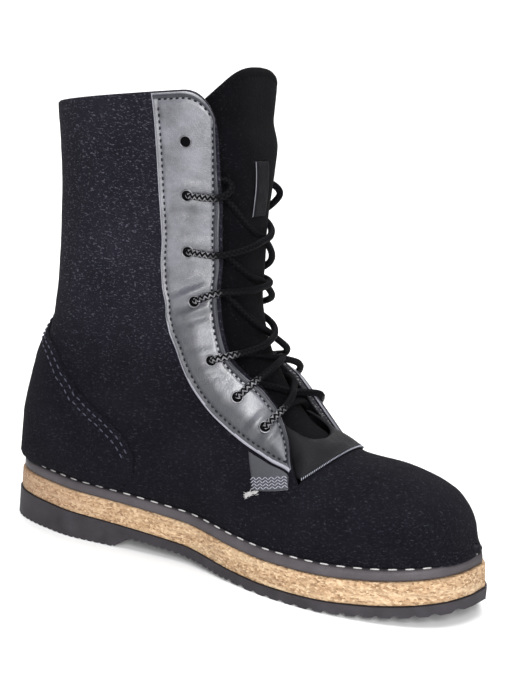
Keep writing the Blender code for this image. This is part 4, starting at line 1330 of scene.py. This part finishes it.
def edge_row(number, side):
    """Row where the lace of one eyelet passes the edge of the flap."""
    row, across = eyelet_place(number, side)
    if number > LEVEL_FROM:
        return row
    height = last_point(row, across, side)[2]
    level = row_where(lambda place: last_point(place, flap_edge(place, side), side)[2], height, 6.7, 19.0)
    return 0.5 * (level + row) if number in HALF_SQUARE else level


def on_flap(number, side, share, lift):
    """A place between an eyelet and the edge of its flap."""
    row, across = eyelet_place(number, side)
    row_edge = edge_row(number, side)
    edge = flap_edge(row_edge, side)
    return lifted(row + (row_edge - row) * share, across + (edge - across) * share, side, lift)


def out_of_eyelet(number, side, steps):
    """First stretch of a lace: up through the eyelet and over to the edge of the flap."""
    return [on_flap(number, side, share, lift) for share, lift in steps]


def strand(number, side, lift):
    """Lace from eyelet number on one side over its flap, across, and under the other flap above."""
    row, row_up = edge_row(number, side), edge_row(number - 1, -side)
    edge, edge_up = flap_edge(row, side), flap_edge(row_up, -side)
    start, stop = 1.0 - edge, 1.0 - edge_up
    path = out_of_eyelet(number, side, EYELET_STEPS)
    steps = (0.0, 0.12, 0.28, 0.50, 0.72, 0.88, 1.0)
    lifts = (OVER_FLAP, 0.45 * OVER_FLAP, 0.4 * ON_TONGUE + lift, ON_TONGUE + lift, ON_TONGUE + 0.5 * lift,
             ON_TONGUE, ON_TONGUE)
    low_end = last_point(row, edge, side)[2]
    high_end = last_point(row_up, edge_up, -side)[2]
    for t in np.linspace(0.0, 1.0, 15):
        place = -start + (start + stop) * t
        across, now = 1.0 - abs(place), side if place < 0.0 else -side
        if number > LEVEL_FROM:
            level = row + (row_up - row) * t - INSTEP_DROP * (1.0 - (2.0 * t - 1.0) ** 2)
        else:
            height = low_end + (high_end - low_end) * t
            level = row_where(lambda at: last_point(at, across, now)[2], height, 6.0, 20.0)
        path.append(lifted(level, across, now, float(spline(steps, lifts, t))))
    path += [lifted(row_up, edge_up - drop, -side, ON_TONGUE) for drop in (0.02, 0.045)]
    path.append(on_flap(number - 1, -side, 0.0, UNDER_EYELET))
    return path


def bar_path():
    """Lowest run of the lace, under both flaps and straight across the tongue."""
    number = EYELET_NUMBERS[-1]
    row, _ = EYELETS[number - 1]
    edge = float(flap_edge(row, -1))
    half = (edge - 0.05, edge, edge + 0.07, edge + 0.15)
    path = [on_flap(number, -1, 0.0, UNDER_EYELET)]
    for side, order in ((-1, half + (1.0,)), (1, tuple(reversed(half)))):
        path += [lifted(row, across, side, ON_TONGUE) for across in order]
    return path + [on_flap(number, 1, 0.0, UNDER_EYELET)]


def lace_end_path(side):
    """Last turn of the lace: out of the second eyelet, round the edge of the flap and back inside."""
    row = edge_row(2, side)
    edge = float(flap_edge(row, side))
    stand, rise = (0.0, 1.3) if side < 0 else (4.0, 2.0)
    turn = ((0.12, 0.055 + 0.012 * stand, 0.2 * OVER_FLAP + stand),
            (0.30, 0.045 + 0.008 * stand, 0.75 * ON_TONGUE + 0.5 * stand),
            (0.42, -0.02, ON_TONGUE), (0.45, -0.06, ON_TONGUE))
    path = out_of_eyelet(2, side, EYELET_STEPS[:4])
    path.append(on_flap(2, side, 0.97, OVER_FLAP + 0.5 + 0.3 * stand))
    return path + [lifted(row + up * rise, edge + out, side, lift) for up, out, lift in turn]


def tube(path):
    """Braided cord along an even path: points, faces and a layout in turns and millimetres."""
    tangent = unit(np.gradient(path, axis=0))
    across = unit(np.cross(tangent[0], (0.3, 0.1, 0.9)))
    rings, layout, run = [], [], 0.0
    columns = CORD_SIDES + 1
    angle = 2.0 * np.pi * np.arange(columns) / CORD_SIDES
    for k, (place, ahead) in enumerate(zip(path, tangent)):
        across = unit(across - ahead * np.dot(across, ahead))
        third = np.cross(ahead, across)
        if k:
            run += np.linalg.norm(place - path[k - 1])
        plait = np.sin(4.0 * angle + 2.3 * run) * np.sin(4.0 * angle - 2.3 * run)
        radius = LACE_RADIUS * (0.97 + 0.045 * plait)
        around = np.cos(angle)[:, None] * across + np.sin(angle)[:, None] * third
        rings.append(place + radius[:, None] * around)
        layout.append(np.stack([angle / (2.0 * np.pi), np.full(columns, run)], 1))
    faces = [tuple(f) for f in grid_faces(len(path), columns)]
    last = (len(path) - 1) * columns
    faces.append(tuple(range(CORD_SIDES))[::-1])
    faces.append(tuple(range(last, last + CORD_SIDES)))
    return np.concatenate(rings), faces, np.concatenate(layout)


def cord_mesh(name, paths):
    points, faces, layout, first = [], [], [], 0
    for path in paths:
        p, f, uv = tube(path)
        points.append(p)
        faces += [tuple(m + first for m in face) for face in f]
        layout.append(uv)
        first += len(p)
    thing = build(name, np.concatenate(points), faces, [LACE_LOOK], uv=np.concatenate(layout))
    return thing


def cord_path(places, reach):
    """Even, softened path of a cord through a few places."""
    return softened(even_path(places, CORD_STEP), reach)


def make_lace():
    paths = [cord_path(bar_path(), 4)]
    for number in reversed(EYELET_NUMBERS[2:]):
        paths += [cord_path(strand(number, side, lift), 4) for side, lift in CROSS_LIFTS]
    thing = cord_mesh("lace_crossings", paths)
    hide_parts("lace_bar", *["lace_cross_%d" % k for k in range(1, 6)])
    for side, label in SIDES:
        path = cord_path(lace_end_path(side), 7)
        end = cord_mesh("lace_end_cord_" + label, [path])
        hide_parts("lace_end_" + label)


RING_AROUND, RING_SIDES = 36, 10
RING_THICK = 0.42

# The cup of painted shadow inside each ring: radius and height above the leather.
SHADOW_CUP_RINGS = ((EYELET_RADIUS - 0.6, 0.2), (EYELET_RADIUS - 1.0, -0.05))


def make_eyelets(side, label):
    """A metal ring at each eyelet, and cups of painted shadow in the holes inside them, in one mesh."""
    turn = 2.0 * np.pi * np.arange(RING_AROUND) / RING_AROUND
    roll = 2.0 * np.pi * np.arange(RING_SIDES) / RING_SIDES
    radius = EYELET_RADIUS - RING_THICK + RING_THICK * np.cos(roll)
    ring_faces = loop_faces(RING_AROUND, RING_SIDES, True)[:, (0, 3, 2, 1)].tolist()
    hole_points, hole_faces = [], []
    for number, centre, axis in zip(EYELET_NUMBERS, *eyelet_centres(side)):
        first = unit(np.cross(axis, (1.0, 0.2, 0.1)))
        second = np.cross(axis, first)
        centre = centre + axis * (STAY_LIFT + LEATHER + 0.15)
        out = np.cos(turn)[:, None] * first + np.sin(turn)[:, None] * second
        ring = centre + out[:, None, :] * radius[None, :, None]
        ring = ring + axis * (0.75 * RING_THICK * np.sin(roll))[None, :, None]
        thing = build("eyelet_ring_%s_%d" % (label, number), ring.reshape(-1, 3), ring_faces, [RING_LOOK])
        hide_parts("eyelet_%s_%d" % (label, number))
        start = len(hole_points)
        for wide, high in SHADOW_CUP_RINGS:
            hole_points += list(centre + out * wide + axis * high)
        hole_faces += (start + loop_faces(len(SHADOW_CUP_RINGS), RING_AROUND)).tolist()
        hole_faces.append(list(range(len(hole_points) - RING_AROUND, len(hole_points))))
    holes = build("eyelet_holes_" + label, np.array(hole_points), hole_faces, [EYELET_SHADOW_LOOK])


# Sole

def outline_xy(inset, count):
    """Even points round the sole outline: medial side from heel to toe, then lateral side back."""
    t = 0.5 - 0.5 * np.cos(np.linspace(0.0, np.pi, 400))
    x = inset + (SOLE_LENGTH - 2.0 * inset) * t
    medial = np.stack([x, -half_width(x, -1, inset)], 1)
    lateral = np.stack([x, half_width(x, 1, inset)], 1)[::-1]
    loop = np.concatenate([medial, lateral[1:]])
    run = path_run(loop)
    return path_at(np.linspace(0.0, run[-1], count + 1)[:-1], run, loop)


def toe_in(xy, amount):
    """Draws the toe of an outline back by the amount, fading out behind the ball."""
    return np.column_stack([xy[:, 0] - amount * eased(xy[:, 0] / SOLE_LENGTH, 0.78, 1.0), xy[:, 1]])


def band(name, levels, count, material, ring=False, wobble=0.0, seed=1, toe=(0.0, 0.0)):
    """Solid from loops round the sole: each level is an inset and a height above the floor."""
    loops = []
    for number, (inset, height) in enumerate(levels):
        draw = toe[0] + (toe[1] - toe[0]) * number / (len(levels) - 1.0)
        xy = toe_in(outline_xy(inset, count), draw)
        loops.append(np.column_stack([xy, height(on_sole(xy[:, 0]))]))
    points = np.concatenate(loops)
    if wobble:
        out = unit((points - np.array((150.0, 0.0, 0.0))) * np.array((0.35, 1.0, 0.0)))
        uneven = wobble * noise_at(points, 2.6, seed) + wobble * noise_at(points, 7.0, seed + 1)
        points = points + out * uneven[:, None]
    faces = loop_faces(len(levels), count, ring).tolist()
    if not ring:
        faces.append(list(range(count))[::-1])
        faces.append(list(range((len(levels) - 1) * count, len(levels) * count)))
    thing = build(name, points, faces, [material])
    face_outward(thing)
    return thing


def mixed(low, high, share):
    """Height function that lies at a share of the way between two others."""
    return lambda x: low(x) + (high(x) - low(x)) * share


def make_midsole():
    levels = [(1.2, cork_low), (0.35, mixed(cork_low, cork_top, 0.02))]
    for share in np.linspace(0.06, 0.94, 12):
        levels.append((0.0 if 0.06 < share < 0.94 else 0.1, mixed(cork_low, cork_top, share)))
    levels += [(0.4, mixed(cork_low, cork_top, 0.98)), (1.2, cork_top)]
    levels += [(BED_INSET, cork_top), (BED_INSET, welt_top)]
    thing = band("midsole_cork", levels, 620, CORK_LOOK, wobble=0.16, seed=51, toe=(0.0, 1.6))
    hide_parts("midsole")


WELT_SEAM, WELT_PITCH, WELT_STITCH_THICK = (4.8, 0.46), 8.8, 0.45

# Side of the welt: inset from the sole's outline, and share of the welt's height.
WELT_SIDE = ((1.3, 0.06), (1.0, 0.25), (1.0, 0.62), (1.25, 0.84), (1.9, 0.97))


def make_welt():
    def low(x):
        return cork_top(x) + GAP

    inner = BED_INSET - GAP
    levels = [(inner, low), (2.0, low)]
    levels += [(inset, mixed(low, welt_top, share)) for inset, share in WELT_SIDE]
    levels += [(2.9, welt_top), (inner, welt_top)]
    thing = band("welt_leather", levels, 420, WELT_LOOK, ring=True, wobble=0.05, seed=61, toe=(2.2, 2.2))
    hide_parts("welt")
    xy = toe_in(outline_xy(UPPER_INSET - 1.5, 2400), 1.2)
    path = np.column_stack([xy, welt_top(on_sole(xy[:, 0])) + 0.25])
    path = np.concatenate([path, path[:1]])
    up = np.tile((0.0, 0.0, 1.0), (len(path), 1))
    line = stitch_line(path, up, WELT_PITCH)
    thread = stitches("welt_stitches", *line, *WELT_SEAM, WHITE_THREAD, WELT_STITCH_THICK)


BREAST = (0.284, 0.332)
WAIST_RUBBER = 5.5
TREAD_FROM = 0.60
COARSE_FROM = 0.56


def rubber_low(x):
    """Underside of the rubber: flat heel, raised waist, flat tread, then the toe spring."""
    along = x / SOLE_LENGTH
    share = np.clip((along - BREAST[1]) / (TREAD_FROM - BREAST[1]), 0.0, 1.0)
    thick = WAIST_RUBBER + (RUBBER - WAIST_RUBBER) * share
    waist = np.maximum(0.0, cork_low(x) - GAP - thick)
    return np.where(along >= TREAD_FROM, toe_spring(x), waist * eased(along, *BREAST))


def tread(x):
    """Shallow ribs across the sole, fine under the heel and waist and coarser under the toes."""
    fine = x < COARSE_FROM * SOLE_LENGTH
    pitch = np.where(fine, 4.2, 8.6)
    wave = np.abs(2.0 * (x / pitch - np.floor(x / pitch)) - 1.0)
    return np.where(fine, 0.75, 1.25) * np.clip(2.6 * (wave - 0.5), 0.0, 1.0)


def make_outsole():
    ends = np.linspace(0.02, 1.0, 60) ** 2 * 10.0
    stations = np.concatenate([[0.0], ends, np.arange(10.7, 280.0, 0.7), SOLE_LENGTH - ends[::-1],
                               [SOLE_LENGTH]])
    inset = -1.0
    x = inset + (SOLE_LENGTH - 2.0 * inset) * stations / SOLE_LENGTH
    inside = on_sole(x)
    medial, lateral = -half_width(x, -1, inset), half_width(x, 1, inset)
    top = cork_low(inside) - GAP
    low = rubber_low(inside) + tread(inside)
    down = (0.0, 0.35, 0.7, 1.0)
    columns = [(medial, top + (low - top) * share) for share in down]
    columns += [(medial + (lateral - medial) * share, low) for share in spread(0.0, 1.0, 22, 1.7)[1:-1]]
    columns += [(lateral, top + (low - top) * share) for share in reversed(down)]
    columns += [(medial + (lateral - medial) * share, top) for share in (0.75, 0.5, 0.25)]
    columns.append(columns[0])
    grid = np.stack([np.stack([x, across, height], 1) for across, height in columns], 1)
    points, faces = weld(grid.reshape(-1, 3), grid_faces(*grid.shape[:2]))
    loops = dict(rim_edges(faces))
    while loops:
        start, mark = next(iter(loops.items()))
        loop = [start]
        del loops[start]
        while mark != start and mark in loops:
            loop.append(mark)
            mark = loops.pop(mark)
        faces.append(tuple(reversed(loop)))
    thing = build("outsole_rubber", points, faces, [RUBBER_LOOK])
    face_outward(thing)
    thing.data.set_sharp_from_angle(angle=math.radians(38.0))
    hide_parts("outsole")


# Section of the insole: inset from its own edge, and height above the welt.
INSOLE_LEVELS = ((0.0, 0.0), (0.0, 0.8 * INSOLE), (1.0, INSOLE), (12.0, INSOLE - 0.6), (22.0, INSOLE - 0.8))


def above_welt(height):
    return lambda x: welt_top(x) + GAP + height


def make_insole():
    edge = UPPER_INSET + FELT + 3.0
    levels = [(edge + inset, above_welt(height)) for inset, height in INSOLE_LEVELS]
    thing = band("insole_felt", levels, 200, INSOLE_FELT)
    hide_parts("insole")


# Floor, light and camera

# The photograph's camera, seen from the boot: place in millimetres from the heel back, angles in degrees,
# focal length and image places in pixels of the 516 by 688 frame.
CAMERA_PLACE = np.array((467.0, -659.7, 252.8))
CAMERA_HEADING = 31.05
CAMERA_PITCH = 10.66
CAMERA_ROLL = 3.86
FOCAL_PIXELS = 949.7
FRAME_WIDTH = 516.0
FRAME_MIDDLE = (258.0, 344.0)
BOOT_MIDDLE = (342.5, 342.0)
CLOSER = 1.42
SENSOR = 36.0

# The floor in metres: reach in front, where it starts to turn up, radius of the turn, height and half width.
FLOOR_FRONT = -3.0
FLOOR_TURN = 1.6
FLOOR_RADIUS = 0.9
FLOOR_HEIGHT = 4.0
FLOOR_HALF = 4.0
FLOOR_GREYS = ((0.3, (0.86, 0.86, 0.86)), (0.7, (0.88, 0.88, 0.88)))
WORLD_STRENGTH = 0.30

# Lamps in metres and watts: name, place, target, width, height, power.
ON_BOOT, ON_WALL = (0.0, 0.0, 0.12), (-1.2, 2.0, 0.5)
LAMPS = (
    ("key", (0.80, -1.26, 0.70), ON_BOOT, 0.45, 1.1, 30.0),
    ("top", (0.0, 0.1, 1.9), ON_BOOT, 1.8, 1.8, 46.0),
    ("front", (0.12, -1.30, 0.20), ON_BOOT, 0.25, 0.36, 3.5),
    ("wall", (-0.5, 0.9, 1.9), ON_WALL, 1.6, 0.8, 30.0),
)


def make_stage():
    """Pale floor that sweeps up behind the boot, soft white surroundings and four soft lamps."""
    profile = [(FLOOR_FRONT, 0.0), (FLOOR_TURN, 0.0)]
    for t in np.linspace(0.0, 0.5 * math.pi, 24)[1:]:
        profile.append((FLOOR_TURN + FLOOR_RADIUS * math.sin(t), FLOOR_RADIUS - FLOOR_RADIUS * math.cos(t)))
    profile.append((FLOOR_TURN + FLOOR_RADIUS, FLOOR_HEIGHT))
    turn = math.radians(CAMERA_HEADING)
    points = []
    for away, high in profile:
        for across in (-FLOOR_HALF, FLOOR_HALF):
            points.append((across * math.cos(turn) - away * math.sin(turn),
                           across * math.sin(turn) + away * math.cos(turn), high))
    mesh = bpy.data.meshes.new("floor")
    mesh.from_pydata(points, [], [(2 * k, 2 * k + 1, 2 * k + 3, 2 * k + 2) for k in range(len(profile) - 1)])
    mesh.polygons.foreach_set("use_smooth", np.ones(len(mesh.polygons), bool))
    floor = bpy.data.objects.new("floor", mesh)
    bpy.context.scene.collection.objects.link(floor)
    pale = Shader("floor_pale", FLOOR_GREYS[0][1], 0.9)
    pale.link(pale.ramp(pale.noise(3.0, 2.0, 0.5), FLOOR_GREYS), "Base Color")
    floor.data.materials.append(pale.material)
    world = bpy.data.worlds.new("soft_studio")
    world.use_nodes = True
    world.node_tree.nodes["Background"].inputs["Color"].default_value = (1.0, 1.0, 1.0, 1.0)
    world.node_tree.nodes["Background"].inputs["Strength"].default_value = WORLD_STRENGTH
    bpy.context.scene.world = world
    for name, place, target, wide, tall, power in LAMPS:
        data = bpy.data.lights.new(name, "AREA")
        data.shape = "RECTANGLE"
        data.size = wide
        data.size_y = tall
        data.energy = power
        lamp = bpy.data.objects.new(name, data)
        lamp.location = place
        lamp.rotation_euler = (Vector(target) - Vector(place)).to_track_quat("-Z", "Y").to_euler()
        bpy.context.scene.collection.objects.link(lamp)
    bpy.context.scene.view_settings.view_transform = "Standard"


def make_camera():
    """Camera at the photograph's place and angle, with the boot moved to the middle of the frame."""
    heading, pitch, roll = (math.radians(a) for a in (CAMERA_HEADING, CAMERA_PITCH, CAMERA_ROLL))
    right = Vector((math.cos(heading), math.sin(heading), 0.0))
    level = math.cos(pitch)
    ahead = Vector((-math.sin(heading) * level, math.cos(heading) * level, -math.sin(pitch)))
    up = right.cross(ahead)
    rolled_right = right * math.cos(roll) + up * math.sin(roll)
    rolled_up = up * math.cos(roll) - right * math.sin(roll)
    aim = ahead + rolled_right * ((BOOT_MIDDLE[0] - FRAME_MIDDLE[0]) / FOCAL_PIXELS)
    aim = (aim - rolled_up * ((BOOT_MIDDLE[1] - FRAME_MIDDLE[1]) / FOCAL_PIXELS)).normalized()
    side = (rolled_right - aim * rolled_right.dot(aim)).normalized()
    top = side.cross(aim)
    data = bpy.data.cameras.new("camera")
    data.sensor_fit = "HORIZONTAL"
    data.sensor_width = SENSOR
    data.lens = SENSOR * FOCAL_PIXELS * CLOSER / FRAME_WIDTH
    camera = bpy.data.objects.new("camera", data)
    place = Vector((CAMERA_PLACE - CENTRE) * MILLIMETRE)
    camera.matrix_world = Matrix.Translation(place) @ Matrix((side, top, -aim)).transposed().to_4x4()
    bpy.context.scene.collection.objects.link(camera)
    bpy.context.scene.camera = camera


make_stage()
make_camera()
make_lace()
upper = make_upper()
counter = make_counter()
tongue = make_tongue()
for side, label in SIDES:
    make_eyestay(side, label)
    make_tab(side, label)
    make_eyelets(side, label)
make_insert()
make_keeper()
make_midsole()
make_welt()
make_outsole()
make_insole()
make_fibres(*upper, 9000, "upper_fibres", 7)
make_fibres(*counter, 1600, "counter_fibres", 8)
make_fibres(*tongue, 1800, "tongue_fibres", 9)
